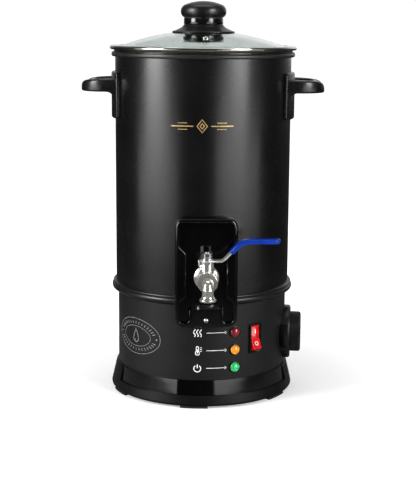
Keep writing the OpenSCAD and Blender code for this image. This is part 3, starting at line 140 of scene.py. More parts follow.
def makeWorld(look):
    world = bpy.data.worlds.new("studio")
    bpy.context.scene.world = world
    world.use_nodes = True
    tree = world.node_tree
    tree.nodes.clear()
    spot = addNode(tree, "TexCoord")
    way = addNode(tree, "SeparateXYZ", links={0: spot.outputs["Generated"]})
    grey = addNode(tree, "MapRange", spans(look["shade"], (look["low"], look["high"])),
                   {"Value": way.outputs["Z"]}, interpolation_type="SMOOTHSTEP")
    back = addNode(tree, "VectorMath", {1: look["paperWay"]}, {0: spot.outputs["Generated"]},
                   operation="DOT_PRODUCT")
    near = addNode(tree, "MapRange", spans((look["paperEdge"], 1.0), (0.0, 1.0)),
                   {"Value": back.outputs["Value"]})
    sheet = addNode(tree, "Math", {1: look["paperFall"]}, {0: near.outputs["Result"]},
                    operation="POWER")
    lit = addNode(tree, "Math", links={0: sheet.outputs["Value"], 1: grey.outputs["Result"]},
                  operation="ADD")
    room = addNode(tree, "Background", links={"Color": lit.outputs["Value"]})
    paper = addNode(tree, "Background", {"Color": (1, 1, 1, 1), "Strength": look["paperSeen"]})
    path = addNode(tree, "LightPath")
    seen = addNode(tree, "Math", operation="MAXIMUM",
                   links={0: path.outputs["Is Camera Ray"], 1: path.outputs["Is Transmission Ray"]})
    both = addNode(tree, "MixShader", links={0: seen.outputs["Value"], 1: room.outputs["Background"],
                                             2: paper.outputs["Background"]})
    addNode(tree, "OutputWorld", links={"Surface": both.outputs["Shader"]})


# The white sheet, in metres from the pot's axis: its glow is turned down under the melter, a painted soft
# shadow, and gloss rays see its white and glow cut to a fifth near the axis and to nothing past 0.6 m, a
# painted dark table
table = {"half": 9, "white": 0.9, "roughness": 0.9, "paintedShadowReach": (0.07, 0.5), "glow": (0.3, 1.0),
         "sheetReach": (0.0, 0.6), "paintedDarkForGloss": (0.78, 1.0)}


def makeFloor(look):
    bm = bmesh.new()
    bmesh.ops.create_grid(bm, x_segments=1, y_segments=1, size=look["half"])
    mesh = bpy.data.meshes.new("floor")
    bm.to_mesh(mesh)
    bm.free()
    floor = placed("floor", mesh)
    paper = bpy.data.materials.new("seamlessPaper")
    paper.use_nodes = True
    shader = paper.node_tree.nodes["Principled BSDF"]
    shader.inputs["Roughness"].default_value = look["roughness"]
    shader.inputs["Emission Color"].default_value = (1, 1, 1, 1)
    tree = paper.node_tree
    place = addNode(tree, "TexCoord").outputs["Object"]
    spread = addNode(tree, "VectorMath", links={0: place}, operation="LENGTH").outputs["Value"]
    # Painted soft shadow under the melter: the glow falls to 0.3 near the pot's axis
    glow = addNode(tree, "MapRange", spans(look["paintedShadowReach"], look["glow"]), {"Value": spread},
                   interpolation_type="SMOOTHSTEP")
    # Painted dark table for reflections: gloss rays see the sheet's white and glow cut down, to nothing past
    # 0.6 m
    edge = addNode(tree, "MapRange", spans(look["sheetReach"], look["paintedDarkForGloss"]),
                   {"Value": spread})
    gloss = addNode(tree, "LightPath").outputs["Is Glossy Ray"]
    lost = addNode(tree, "Math", links={0: edge.outputs["Result"], 1: gloss}, operation="MULTIPLY")
    left = addNode(tree, "Math", {0: 1.0}, {1: lost.outputs["Value"]}, operation="SUBTRACT")
    lit = addNode(tree, "Math", links={0: left.outputs["Value"], 1: glow.outputs["Result"]},
                  operation="MULTIPLY")
    white = addNode(tree, "Math", {0: look["white"]}, {1: left.outputs["Value"]},
                    operation="MULTIPLY")
    tree.links.new(lit.outputs["Value"], shader.inputs["Emission Strength"])
    tree.links.new(white.outputs["Value"], shader.inputs["Base Color"])
    mesh.materials.append(paper)


makeLights(softboxes)
makeWorld(studio)
makeFloor(table)
bpy.context.scene.view_settings.view_transform = "Standard"
print("camera, lights and floor done")


patchStops = (0.36, 0.66)     # where a colour patch begins and ends on its noise
smudgeStops = (0.34, 0.68)    # and a smudge


def makeFinish(name, look):
    # colour: two hex values and the size in mm of their patches; rough: low, high and the size of its smudges
    # cells and grain: rows of (size, height) in mm; rings: lathe marks round an axis
    # a key with a capital letter is one of the shader's own sockets
    material = bpy.data.materials.new(name)
    material.use_nodes = True
    tree = material.node_tree
    tree.nodes.clear()
    sockets = {key: value for key, value in look.items() if key[0].isupper()}
    shader = addNode(tree, "BsdfPrincipled", sockets)
    addNode(tree, "OutputMaterial", links={"Surface": shader.outputs["BSDF"]})
    place = addNode(tree, "TexCoord").outputs["Object"]
    (*colours, patchSize), (*rough, smudgeSize) = look["colour"], look["rough"]
    patch = addNode(tree, "TexNoise", {"Scale": 1 / (patchSize * mm), "Detail": 4.0}, {"Vector": place})
    tint = addNode(tree, "ValToRGB", links={"Fac": patch.outputs["Fac"]})
    for stop, at, colour in zip(tint.color_ramp.elements, patchStops, colours):
        stop.position, stop.color = at, linear(colour)
    tree.links.new(tint.outputs["Color"], shader.inputs["Base Color"])
    smudge = addNode(tree, "TexNoise", {"Scale": 1 / (smudgeSize * mm), "Detail": 3.0}, {"Vector": place})
    gloss = addNode(tree, "MapRange", spans(smudgeStops, rough), {"Value": smudge.outputs["Fac"]})
    tree.links.new(gloss.outputs["Result"], shader.inputs["Roughness"])
    levels = []
    for size, height in look.get("cells", ()):
        pattern = addNode(tree, "TexVoronoi", {"Scale": 1 / (size * mm)}, {"Vector": place})
        levels.append((pattern.outputs["Distance"], height))
    for size, height in look.get("grain", ()):
        pattern = addNode(tree, "TexNoise", {"Scale": 1 / (size * mm), "Detail": 2.0}, {"Vector": place})
        levels.append((pattern.outputs["Fac"], height))
    if "rings" in look:
        ring = look["rings"]
        centre, turn = [-c * mm for c in ring["centre"]], [radians(t) for t in ring["turn"]]
        around = addNode(tree, "Mapping", {"Location": centre, "Rotation": turn}, {"Vector": place})
        split = addNode(tree, "SeparateXYZ", links={0: around.outputs["Vector"]})
        flat = addNode(tree, "CombineXYZ", links={0: split.outputs["X"], 1: split.outputs["Y"]})
        reach = addNode(tree, "VectorMath", links={0: flat.outputs["Vector"]}, operation="LENGTH")
        track = addNode(tree, "CombineXYZ", links={0: reach.outputs["Value"], 2: split.outputs["Z"]})
        marks = addNode(tree, "TexNoise", {"Scale": 1 / (ring["pitch"] * mm), "Detail": 1.0},
                        {"Vector": track.outputs["Vector"]})
        levels.append((marks.outputs["Fac"], ring["height"]))
    normal = None
    for level, height in levels:    # each bump stands on the one before it
        bump = addNode(tree, "Bump", {"Strength": 1.0, "Distance": height * mm}, {"Height": level})
        if normal:
            tree.links.new(normal, bump.inputs["Normal"])
        normal = bump.outputs["Normal"]
    if normal:
        tree.links.new(normal, shader.inputs["Normal"])
    return material


potAxis = {"centre": (0, 0, 0), "turn": (0, 0, 0)}
tapAxis = {"centre": (0, -140.7, 0), "turn": (90, 0, 0)}    # the barrel's axis, along Y at z 140.7
stemAxis = {"centre": (0, -119.5, 0), "turn": (0, 0, 0)}
jewel = {"rough": (0.06, 0.12, 3), "Coat Weight": 1.0, "Coat Roughness": 0.03}
paleJewel = {**jewel, "cells": [(2.2, 0.12)], "Subsurface Weight": 0.15}    # light goes into it

finishes = {
    # Stoved enamel on drawn steel: a satin coat with very fine orange peel, which softens the softboxes
    "satinEnamelSteel": {"colour": ("#050506", "#080809", 60), "rough": (0.25, 0.29, 45),
                         "grain": [(1.4, 0.004)], "Specular IOR Level": 0.55},
    # Non-stick coating rolled on before forming: matt, flecked
    "nonStickCoating": {"colour": ("#131314", "#1d1d1f", 1.2), "rough": (0.3, 0.42, 18),
                        "grain": [(0.9, 0.008)]},
    # ABS from a spark-eroded mould: fine matt pits that keep the housing greyer than the pot, drawn at
    # 0.7 mm, which is coarser than they are, so that they show
    "sparkTexturedAbs": {"colour": ("#0b0b0c", "#0f0f10", 30), "rough": (0.4, 0.48, 26),
                         "cells": [(0.7, 0.03)], "grain": [(0.5, 0.02)], "Specular IOR Level": 0.38},
    # Grained ABS for the skirt, darker and with less sheen than the housing: painted shade for its lower band,
    # which faces down to the shadowed floor
    "skirtAbsPaintedShade": {"colour": ("#040405", "#070708", 24), "rough": (0.4, 0.5, 20),
                       "grain": [(0.6, 0.012)], "Specular IOR Level": 0.17},
    # Moulded satin ABS, slightly smoother than the housing
    "satinMouldedAbs": {"colour": ("#09090a", "#0d0d0e", 24), "rough": (0.3, 0.38, 20),
                        "grain": [(0.6, 0.01)], "Specular IOR Level": 0.5},
    # Handle phenolic, compression moulded: satin, its gloss varying in soft patches
    "mouldedPhenolicGrip": {"colour": ("#080809", "#0c0c0d", 18), "rough": (0.24, 0.34, 16),
                            "grain": [(0.8, 0.008)], "Specular IOR Level": 0.55},
    # ABS from a polished mould: deep black mirror with faint handling haze
    "polishedBlackAbs": {"colour": ("#020203", "#040405", 40), "rough": (0.06, 0.12, 24),
                         "grain": [(9, 0.008)], "Specular IOR Level": 0.45},
    # Moulded rubber feet, bloom-greyed
    "mouldedRubber": {"colour": ("#121212", "#1e1e1e", 4), "rough": (0.62, 0.8, 6),
                      "grain": [(0.5, 0.03)]},
    # Satin nickel on cast and turned brass: a warm, slightly milky mirror that stays pale in a dark room
    "platedTapBrass": {"colour": ("#e6e3da", "#f8f6f0", 8), "rough": (0.07, 0.15, 7),
                       "grain": [(5, 0.03)], "rings": dict(tapAxis, pitch=0.35, height=0.003),
                       "Metallic": 0.9},
    # The same plating on the turned stem, gland nut and nozzle: a little duller from its tool marks
    "platedStemBrass": {"colour": ("#e0dcd2", "#f4f1e9", 8), "rough": (0.1, 0.2, 6),
                        "grain": [(4, 0.02)], "rings": dict(stemAxis, pitch=0.35, height=0.003),
                        "Metallic": 0.92},
    # Pressed nickel-plated strip, barrel finished: soft and bright
    "platedStrip": {"colour": ("#e2e0da", "#f6f4ef", 10), "rough": (0.16, 0.26, 8),
                    "grain": [(3, 0.008)], "Metallic": 0.8},
    # Stainless sheet rolled and buffed round the lid: mirror with fine spun lines
    "spunStainless": {"colour": ("#c9c5bd", "#dedbd4", 22), "rough": (0.07, 0.15, 16),
                      "rings": dict(potAxis, pitch=0.5, height=0.003), "Metallic": 1.0},
    # Lapped stainless ball: a clean mirror with faint turning lines
    "polishedBall": {"colour": ("#d0d0d2", "#e4e4e6", 6), "rough": (0.04, 0.1, 5),
                     "rings": dict(stemAxis, pitch=0.3, height=0.002), "Metallic": 1.0},
    # Zinc-plated steel fasteners: bluish, a touch cloudy
    "zincPlatedSteel": {"colour": ("#a9acb0", "#d4d6d8", 1.5), "rough": (0.2, 0.38, 2),
                        "grain": [(0.4, 0.006)], "Metallic": 1.0},
    # Tempered lid glass: grey-green through its edge, with a slow roller wave
    "temperedGlass": {"colour": ("#dfe9e5", "#e8f0ed", 40), "rough": (0.0, 0.02, 30),
                      "grain": [(26, 0.05)], "Transmission Weight": 1.0, "IOR": 1.52},
    # Bakelite knob, compression moulded and tumbled: even satin with a soft sheen
    "satinBakelite": {"colour": ("#080809", "#0d0d0e", 12), "rough": (0.3, 0.4, 14),
                      "grain": [(1.0, 0.006)], "Specular IOR Level": 0.55},
    # The same Bakelite buffed: a black band with clear reflections
    "glossBakelite": {"colour": ("#060607", "#0a0a0b", 10), "rough": (0.1, 0.17, 9),
                      "grain": [(4, 0.008)], "Specular IOR Level": 0.6},
    # Plastisol vinyl, dip coated: thick royal blue with a wet skin
    "dippedVinyl": {"colour": ("#01227a", "#032e90", 14), "rough": (0.18, 0.26, 9),
                    "grain": [(5, 0.03)],
                    "Coat Weight": 0.15, "Coat Roughness": 0.05, "Specular IOR Level": 0.3},
    # Pressed fibre gaskets: brown, dry and fuzzy
    "pressedFibre": {"colour": ("#3c2f27", "#57453a", 1.0), "rough": (0.7, 0.85, 3),
                     "grain": [(0.4, 0.04)]},
    # Turned PTFE seats: waxy white
    "turnedPtfe": {"colour": ("#e9e8e4", "#f6f5f1", 5), "rough": (0.35, 0.5, 4),
                   "rings": dict(tapAxis, pitch=0.3, height=0.004), "Subsurface Weight": 0.1},
    # Cast aluminium heater plate and shield: dull, granular
    "castAluminium": {"colour": ("#8d8f91", "#b3b5b7", 3), "rough": (0.4, 0.58, 8),
                      "grain": [(0.8, 0.03)], "Metallic": 1.0},
    # Heater sheath steel, straw and blue from its own heat
    "heatTintedTube": {"colour": ("#4a4038", "#6d655c", 9), "rough": (0.35, 0.5, 6),
                       "grain": [(0.6, 0.01)], "Metallic": 0.9},
    # Needled glass wool: pale, fibrous, fully matt
    "needledGlassWool": {"colour": ("#cfc6a4", "#e9e2c6", 2.2), "rough": (0.88, 0.98, 5),
                         "grain": [(1.2, 0.4), (4, 0.6)]},
    # Drawn copper capillary: browned, with a soft shine along it
    "drawnCopper": {"colour": ("#9a5a33", "#c07a4c", 5), "rough": (0.22, 0.4, 4),
                    "grain": [(0.7, 0.006)], "Metallic": 1.0},
    # Stamped brass contacts: pale yellow, flat and fairly bright
    "stampedContactBrass": {"colour": ("#bfae7c", "#dbcd9e", 2), "rough": (0.2, 0.34, 3),
                            "grain": [(0.5, 0.005)], "Metallic": 1.0},
    # Moulded phenolic of the thermostat and cut-out bodies: light brown, mottled and dull
    "mouldedPhenolicBrown": {"colour": ("#8d7a58", "#a8946f", 1.6), "rough": (0.45, 0.6, 5),
                             "grain": [(0.5, 0.015)]},
    # Jewelled polycarbonate lamp lenses: faceted inside, a hard gloss outside
    "redJewelLens": {**jewel, "colour": ("#3d060a", "#8f1c22", 2.6), "cells": [(2.2, 0.16)]},
    "amberJewelLens": {**paleJewel, "colour": ("#c9700c", "#f0a032", 2.6)},
    "greenJewelLens": {**paleJewel, "colour": ("#129048", "#3ccb7a", 2.6)},
    # Translucent red rocker: colour goes deep, highlights stay white
    "redRockerPolycarbonate": {"colour": ("#b00a0c", "#e0191b", 5), "rough": (0.08, 0.16, 4),
                               "grain": [(2, 0.01)],
                               "Coat Weight": 1.0, "Coat Roughness": 0.04, "Subsurface Weight": 0.1},
    # Extruded silicone lead jackets: off-white and waxy
    "extrudedSilicone": {"colour": ("#cfcabd", "#e2ddd0", 3), "rough": (0.45, 0.6, 4),
                         "grain": [(0.8, 0.01)]},
    # Injection-moulded nylon block: ivory with a dull sheen
    "mouldedNylon": {"colour": ("#dcd9cf", "#eeebe2", 5), "rough": (0.4, 0.52, 4),
                     "grain": [(0.6, 0.01)]},
    # Pad-printed white ink: flat, slightly broken where it meets the texture
    "paddedWhiteInk": {"colour": ("#d6d6d3", "#f2f2ef", 0.9), "rough": (0.5, 0.65, 2),
                       "grain": [(0.4, 0.01)]},
    # Hot-stamped gold foil on the enamel
    "stampedGoldFoil": {"colour": ("#a88a55", "#cdb27c", 2.4), "rough": (0.3, 0.45, 4),
                        "grain": [(0.6, 0.008)], "Metallic": 0.55},
    # Screen-printed silver ink: dull grey with a slight metal sheen
    "printedSilverInk": {"colour": ("#6f7072", "#98999b", 1.1), "rough": (0.4, 0.55, 2),
                         "grain": [(0.4, 0.01)], "Metallic": 0.3},
}
materials = {name: makeFinish(name, look) for name, look in finishes.items()}
print("materials done:", len(materials))

# What each CAD node is made of
nodeFinish = {
    "satinEnamelSteel": ["outer_shell"],
    "nonStickCoating": ["inner_pot"],
    "sparkTexturedAbs": ["base_housing", "bottom_cover"],
    "satinMouldedAbs": ["joint_ring", "dial_bezel", "thermostat_dial"],
    "skirtAbsPaintedShade": ["base_skirt"],
    "mouldedPhenolicGrip": ["handle_left", "handle_right"],
    "polishedBlackAbs": ["tap_plate", "base_trim", "switch_frame", "lamp_bodies", "inlet_body"],
    "mouldedRubber": ["feet"],
    "platedTapBrass": ["valve_body", "spout_elbow", "tap_nipple", "tap_locknut"],
    "platedStemBrass": ["gland_nut", "valve_stem", "spout_nozzle"],
    "platedStrip": ["lever"],
    "spunStainless": ["lid_rim", "lid_vent"],
    "polishedBall": ["valve_ball"],
    "zincPlatedSteel": ["lever_nut", "bottom_screws", "tap_plate_screw", "handle_screws", "lid_screw",
                        "thermostat_shaft", "thermostat_screws", "inlet_screws"],
    "temperedGlass": ["lid_glass"],
    "satinBakelite": ["lid_seat", "knob_skirt", "knob_cap"],
    "glossBakelite": ["knob_ring"],
    "dippedVinyl": ["lever_sleeve"],
    "pressedFibre": ["tap_gaskets"],
    "turnedPtfe": ["valve_seats"],
    "castAluminium": ["heating_plate", "heat_shield"],
    "heatTintedTube": ["heating_element"],
    "needledGlassWool": ["insulation_wrap"],
    "drawnCopper": ["thermostat_probe"],
    "stampedContactBrass": ["switch_terminals", "inlet_pins"],
    "mouldedPhenolicBrown": ["thermal_cutout", "thermostat_body"],
    "redJewelLens": ["lamp_lens_heating"],
    "amberJewelLens": ["lamp_lens_insulation"],
    "greenJewelLens": ["lamp_lens_standby"],
    "redRockerPolycarbonate": ["switch_rocker"],
    "extrudedSilicone": ["wires"],
    "mouldedNylon": ["terminal_block"],
}
finishOf = {}
for finish, members in nodeFinish.items():
    for node in members:
        finishOf[node] = finish
        nodes[node].data.materials.clear()
        nodes[node].data.materials.append(materials[finish])
print("CAD nodes dressed:", len(finishOf), "of", len(nodes))


def outward(angle, height=0.0):
    # A frame on the pot's side: X across, Y up, Z straight out from the pot's axis
    turn = radians(angle)
    side = Vector((cos(turn), sin(turn), 0))
    out = Vector((sin(turn), -cos(turn), 0))
    return Matrix.Translation((0, 0, height * mm)) @ Matrix((side, (0, 0, 1), out)).transposed().to_4x4()


joinGap = 0.002 * mm    # points closer than this are one
flatWithin = 0.4        # degrees: facets that turn less than this are one flat face
edgeTurn = 50           # degrees: an edge that turns more than this is a corner


def faceOut(bm):
    bmesh.ops.recalc_face_normals(bm, faces=bm.faces)


def cornersOf(made):
    return [g for g in made if isinstance(g, bmesh.types.BMVert)]


def sharpEdges(bm, angle, keep=None):
    limit = radians(angle)
    return [e for e in bm.edges
            if len(e.link_faces) == 2 and e.calc_face_angle() > limit and (not keep or keep(e))]


def bevelled(bm, edges, width, segments, clamp=True):
    bmesh.ops.bevel(bm, geom=edges, offset=width, offset_type="OFFSET", affect="EDGES", segments=segments,
                    profile=0.5, material=-1, clamp_overlap=clamp)


def finishPiece(bm, name, finish, body, replaced=(), sharp=32):
    # Puts the bmesh into the scene as a smooth piece that rides on its body
    bmesh.ops.remove_doubles(bm, verts=bm.verts, dist=joinGap)
    mesh = bpy.data.meshes.new(name)
    bm.to_mesh(mesh)
    bm.free()
    mesh.shade_smooth()
    mesh.set_sharp_from_angle(angle=radians(sharp))
    mesh.materials.append(materials[finish])
    piece = placed(name, mesh)
    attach(piece, body)
    if replaced:
        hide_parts(*replaced)


def spun(profile, steps=192):
    # Turns a profile of (radius, height) points in mm round Z
    bm = bmesh.new()
    points = [bm.verts.new((r * mm, 0, z * mm)) for r, z in profile]
    line = [bm.edges.new(pair) for pair in zip(points, points[1:])]
    bmesh.ops.spin(bm, geom=points + line, cent=(0, 0, 0), axis=(0, 0, 1), angle=radians(360), steps=steps,
                   use_merge=True)
    bmesh.ops.remove_doubles(bm, verts=bm.verts, dist=joinGap)
    faceOut(bm)
    return bm


def arc(middle, radius, start, end, steps):
    # Points on a bend, angles in degrees
    angles = [radians(start + (end - start) * i / steps) for i in range(steps + 1)]
    return [(middle[0] + radius * cos(a), middle[1] + radius * sin(a)) for a in angles]


# Edges as a mould or a tool leaves them: the new piece's name, width in mm, from what angle in degrees, steps
# Past a front only: the angle round the pot, the height, the distance from the axis
softEdges = {
    "lid_seat": ("lidSeat", 0.5, 35, 3),
    "lid_vent": ("lidVent", 0.25, 35, 3),
    "valve_body": ("valveBody", 0.3, 30, 2),
    "gland_nut": ("glandNut", 0.25, 30, 2),
    "lever": ("leverStrip", 0.45, 40, 2),
    "lever_nut": ("leverNut", 0.3, 30, 2),
    "spout_nozzle": ("spoutNozzle", 0.25, 30, 2),
    "dial_bezel": ("dialBezel", 0.7, 40, 3),
    "switch_frame": ("switchFrame", 0.5, 40, 3),
    "switch_rocker": ("switchRocker", 0.35, 40, 3),
    "lamp_bodies": ("lampBodies", 0.2, 40, 2),
    "inlet_body": ("inletBody", 0.5, 40, 3),
}
fronts = {"dial_bezel": (82, 61, 95.5), "switch_frame": (35, 69.7, 91.8)}


def refined(node):
    # A CAD node's own shape with its edges rounded
    name, width, limit, steps = softEdges[node]
    angle, height, reach = fronts.get(node, (0, 0, -1000))    # without a front, all of it
    face = outward(angle, height).inverted()
    bm = bmesh.new()
    bm.from_mesh(nodes[node].data)
    bmesh.ops.remove_doubles(bm, verts=bm.verts, dist=joinGap)
    bmesh.ops.dissolve_limit(bm, angle_limit=radians(flatWithin), verts=bm.verts, edges=bm.edges)
    edges = sharpEdges(bm, limit, keep=lambda e: (face @ e.verts[0].co).z > reach * mm)
    bevelled(bm, edges, width * mm, steps)
    finishPiece(bm, name, finishOf[node], bodyOf[node], (node,))


knob = {"flareTop": 393.8, "neckTop": 400.4, "top": 418.0, "neckRadius": 21.0, "flareRadius": 33.4,
        "capRadius": 24.3, "holeRadius": 2.05, "flareEdge": 0.8, "ringEdge": 0.7, "bellyRadius": 7.6,
        "bellyRise": 6.8, "bellyArc": (-52, 62), "domePower": 2.2, "seatGap": 0.05,
        # the flare's hollow line: out from the neck, down from its top
        "flareLine": [(0.5, 1.3), (1.3, 2.3), (2.6, 3.4), (4.4, 4.4), (6.7, 5.5)]}


def makeKnob(look):
    hole, neck, flare = look["holeRadius"], look["neckRadius"], look["flareRadius"]
    foot, top = look["flareTop"], look["neckTop"]
    skirt = [(hole, foot - 0.1), (neck - 0.4, foot - 0.1)] + arc((neck - 0.6, foot - 0.7), 0.6, 80, 20, 3)
    skirt += [(neck + out, foot - down) for out, down in look["flareLine"]]
    skirt += [(flare - 3.2, foot - 6.5), (flare - 1.2, foot - 7.2)]
    skirt += arc((flare - look["flareEdge"], foot - 8.1), look["flareEdge"], 70, -80, 6)
    skirt += [(flare - 2.4, foot - 8.9), (hole, foot - 6.9)]
    finishPiece(spun(skirt + skirt[:1]), "knobSkirt", "satinBakelite", "lid", ("knob_skirt",), sharp=50)
    edge = look["ringEdge"]
    ring = [(hole, foot), (neck - 1, foot)] + arc((neck - edge, foot + edge + 0.05), edge, -90, 0, 4)
    ring += arc((neck - edge, top - edge - 0.05), edge, 0, 90, 4) + [(neck - 1, top), (hole, top)]
    finishPiece(spun(ring + ring[:1]), "knobRing", "glossBakelite", "lid", ("knob_ring",), sharp=50)
    # The cap: a turned-under belly, a full round at its widest and a gently domed top
    belly, middle, low = look["bellyRadius"], top + look["bellyRise"], top + look["seatGap"]
    cap = [(hole, low), (neck - 1.2, low), (neck - 0.5, top + 0.3)]
    cap += arc((look["capRadius"] - belly, middle), belly, *look["bellyArc"], 22)
    reach, shoulder = cap[-1]
    for i in range(1, 13):
        r = reach * (1 - i / 12)
        cap.append((r, shoulder + (look["top"] - shoulder) * (1 - (r / reach) ** look["domePower"])))
    finishPiece(spun(cap), "knobCap", "satinBakelite", "lid", ("knob_cap",), sharp=60)


makeKnob(knob)

rim = {"seat": 365.2, "edge": 367.3, "edgeHeight": 4.3, "radius": 99.7, "glass": 91.0, "sheet": 0.9,
       "lap": 1.5, "lapWall": 1.25, "corner": 0.6, "step": 4.1, "lipRadius": 85.3, "lipDepth": 13.0}


def makeRim(look):
    # One sheet rolled round the glass: the outer roll, a step under it, the seat and the lip inside the pot
    roll, sheet, corner = look["edgeHeight"] / 2, look["sheet"], look["corner"]
    seat, glass, lip, edge = look["seat"], look["glass"], look["lipRadius"], look["edge"]
    top, lap, step, foot = edge + 2 * roll, glass - look["lap"], glass + look["step"], seat - look["lipDepth"]
    profile = [(lap, top - look["lapWall"]), (lap, top - 0.15), (lap + 0.2, top), (glass + 1, top)]
    profile += arc((look["radius"] - roll, edge + roll), roll, 90, -90, 18)
    profile += [(step + 1.1, edge), (step + 0.3, edge - 0.5), (step, seat + corner)]
    profile += arc((step - corner, seat + corner), corner, 0, -90, 4)
    profile += [(lip + sheet, seat), (lip, seat - sheet), (lip, foot + 0.4), (lip - 0.4, foot),
                (lip - sheet, foot + 0.3), (lip - sheet, seat + sheet), (glass + 0.1, seat + sheet),
                (glass + 0.1, top - look["lapWall"])]
    finishPiece(spun(profile + profile[:1], 256), "lidRim", "spunStainless", "lid", ("lid_rim",), sharp=40)


makeRim(rim)
for node in ("lid_seat", "lid_vent"):
    refined(node)
print("lid done")


handle = {"potRadius": 94.05, "plateRadius": 98.0, "plateFoot": 295.5, "plateTop": 344.1, "plateAngle": 25.0,
          "gripFoot": 323.6, "gripTop": 337.2, "tip": 129.0, "halfWidth": 39.33, "leg": 11.0,
          "cornerRadius": 27.0, "innerCorner": 16.0, "rounding": 4.4, "footEdge": 1.8,
          "plateCorner": 5.0, "plateEdge": 1.5, "gusset": 8.0, "gussetX": 92.0, "gussetInset": 0.9,
          "turn": 4.8, "fall": 6.1,
          # the fall's share at each distance back from the tip
          "fallLine": [(30, 0.0), (16, 0.1), (8, 0.21), (4, 0.32), (1.8, 0.47), (0.6, 0.69), (0, 1.0)]}


def gripFall(look, x):
    # How far the grip's upper face has come down at a distance from the pot's axis
    line, back = look["fallLine"], max(look["tip"] - x, 0)
    for (far, low), (near, high) in zip(line, line[1:]):
        if back >= near:
            share = min(max((far - back) / (far - near), 0), 1)
            return look["fall"] * (low + (high - low) * share)
    return look["fall"]


def makeHandle(look, side, name, node):
    start = look["potRadius"] * cos(radians(look["plateAngle"])) - 1
    outer, inner = look["tip"], look["tip"] - look["leg"]
    wide, narrow = look["halfWidth"], look["halfWidth"] - look["leg"]
    big, small, foot = look["cornerRadius"], look["innerCorner"], look["gripFoot"]
    legs = [start + (outer - big - start) * i / 6 for i in range(6)]

    def path(edge, half, radius):
        near = [(x, -half) for x in legs]
        bend = arc((edge - radius, radius - half), radius, -90, 0, 14)
        across = [(edge, (half - radius) * (i / 4 - 1)) for i in range(1, 8)]
        return near + bend + across + [(x, -y) for x, y in reversed(near + bend)]

    bm = bmesh.new()
    chains = []
    for points in (path(outer, wide, big), path(inner, narrow, small)):
        row = [bm.verts.new((x * mm, y * mm, foot * mm)) for x, y in points]
        chains += [bm.edges.new(pair) for pair in zip(row, row[1:])]
    bmesh.ops.bridge_loops(bm, edges=chains)
    for v in cornersOf(bmesh.ops.extrude_face_region(bm, geom=bm.faces[:])["geom"]):
        v.co.z = (look["gripTop"] - gripFall(look, v.co.x / mm)) * mm
    faceOut(bm)
    above = sharpEdges(bm, edgeTurn, keep=lambda e: min(v.co.z for v in e.verts) > (foot + 1) * mm)
    bevelled(bm, above, look["rounding"] * mm, 6)
    below = sharpEdges(bm, edgeTurn, keep=lambda e: max(v.co.z for v in e.verts) < (foot + 1) * mm)
    bevelled(bm, below, look["footEdge"] * mm, 4)
    # The fillet under each leg, from the plate out to the grip's underside
    reach, size, inset = look["gussetX"], look["gusset"], look["gussetInset"]
    for y in (-1, 1):
        web = [(start, foot + 1), (start, foot - size), (reach, foot - size)]
        web += arc((reach + size, foot - size), size, 180, 92, 8) + [(reach + size, foot + 1)]
        flank = y * (wide - look["leg"] / 2) - look["leg"] / 2 + inset
        face = bm.faces.new([bm.verts.new((x * mm, flank * mm, z * mm)) for x, z in web])
        grown = cornersOf(bmesh.ops.extrude_face_region(bm, geom=[face])["geom"])
        bmesh.ops.translate(bm, vec=(0, (look["leg"] - 2 * inset) * mm, 0), verts=grown)
    # The plate that hugs the pot
    plate = bmesh.new()
    back, front, low, high = (look[key] for key in ("potRadius", "plateRadius", "plateFoot", "plateTop"))
    section = [(back, low), (front, low), (front, high), (back, high)]
    corners = [plate.verts.new((r * mm, 0, z * mm)) for r, z in section]
    band = plate.faces.new(corners)
    bmesh.ops.rotate(plate, verts=plate.verts, cent=(0, 0, 0),
                     matrix=Matrix.Rotation(-radians(look["plateAngle"]), 3, "Z"))
    bmesh.ops.spin(plate, geom=[band] + band.edges[:] + corners, cent=(0, 0, 0), axis=(0, 0, 1),
                   angle=radians(2 * look["plateAngle"]), steps=28, use_merge=False)
    faceOut(plate)
    # Its four corners are the level edges through its thickness
    through = [e for e in sharpEdges(plate, edgeTurn) if abs(e.verts[0].co.z - e.verts[1].co.z) < 1e-6
               and abs(e.verts[0].co.xy.length - e.verts[1].co.xy.length) > 1e-3]
    bevelled(plate, through, look["plateCorner"] * mm, 5)
    near = (front - 0.5) * mm
    facing = sharpEdges(plate, edgeTurn, keep=lambda e: min(v.co.xy.length for v in e.verts) > near)
    bevelled(plate, facing, look["plateEdge"] * mm, 4)
    mesh = bpy.data.meshes.new("plate")
    plate.to_mesh(mesh)
    plate.free()
    bm.from_mesh(mesh)
    bpy.data.meshes.remove(mesh)
    faceOut(bm)
    turn = radians(-look["turn"] if side > 0 else 180 - look["turn"])
    bmesh.ops.rotate(bm, verts=bm.verts, cent=(0, 0, 0), matrix=Matrix.Rotation(turn, 3, "Z"))
    finishPiece(bm, name, "mouldedPhenolicGrip", "melter", (node,), sharp=40)


makeHandle(handle, 1, "handleRight", "handle_right")
makeHandle(handle, -1, "handleLeft", "handle_left")
print("handles done")


tapPlate = {"width": 64.0, "foot": 88.6, "top": 201.7, "corner": 10.0, "front": 106.0, "roll": 3.3,
            "rim": 4.5, "panelDepth": 5.0, "panelCorner": 4.0, "land": 7.0, "landTop": 172.1, "landFoot": 120.7,
            "landBend": 6.7, "blockWidth": 35.0, "blockTop": 111.6, "ledge": 4.0, "ledgeRun": 5.0,
            "panelEdge": 1.1, "landEdge": 1.8, "rollSteps": 8, "edgeSteps": 5,
            # the back's radius at each height: the pot, the joint ring and the base
            "backs": [(201.7, 94.05), (119.6, 94.05), (119.4, 98.7), (107.8, 98.7), (107.6, 91.75),
                      (88.6, 91.75)]}


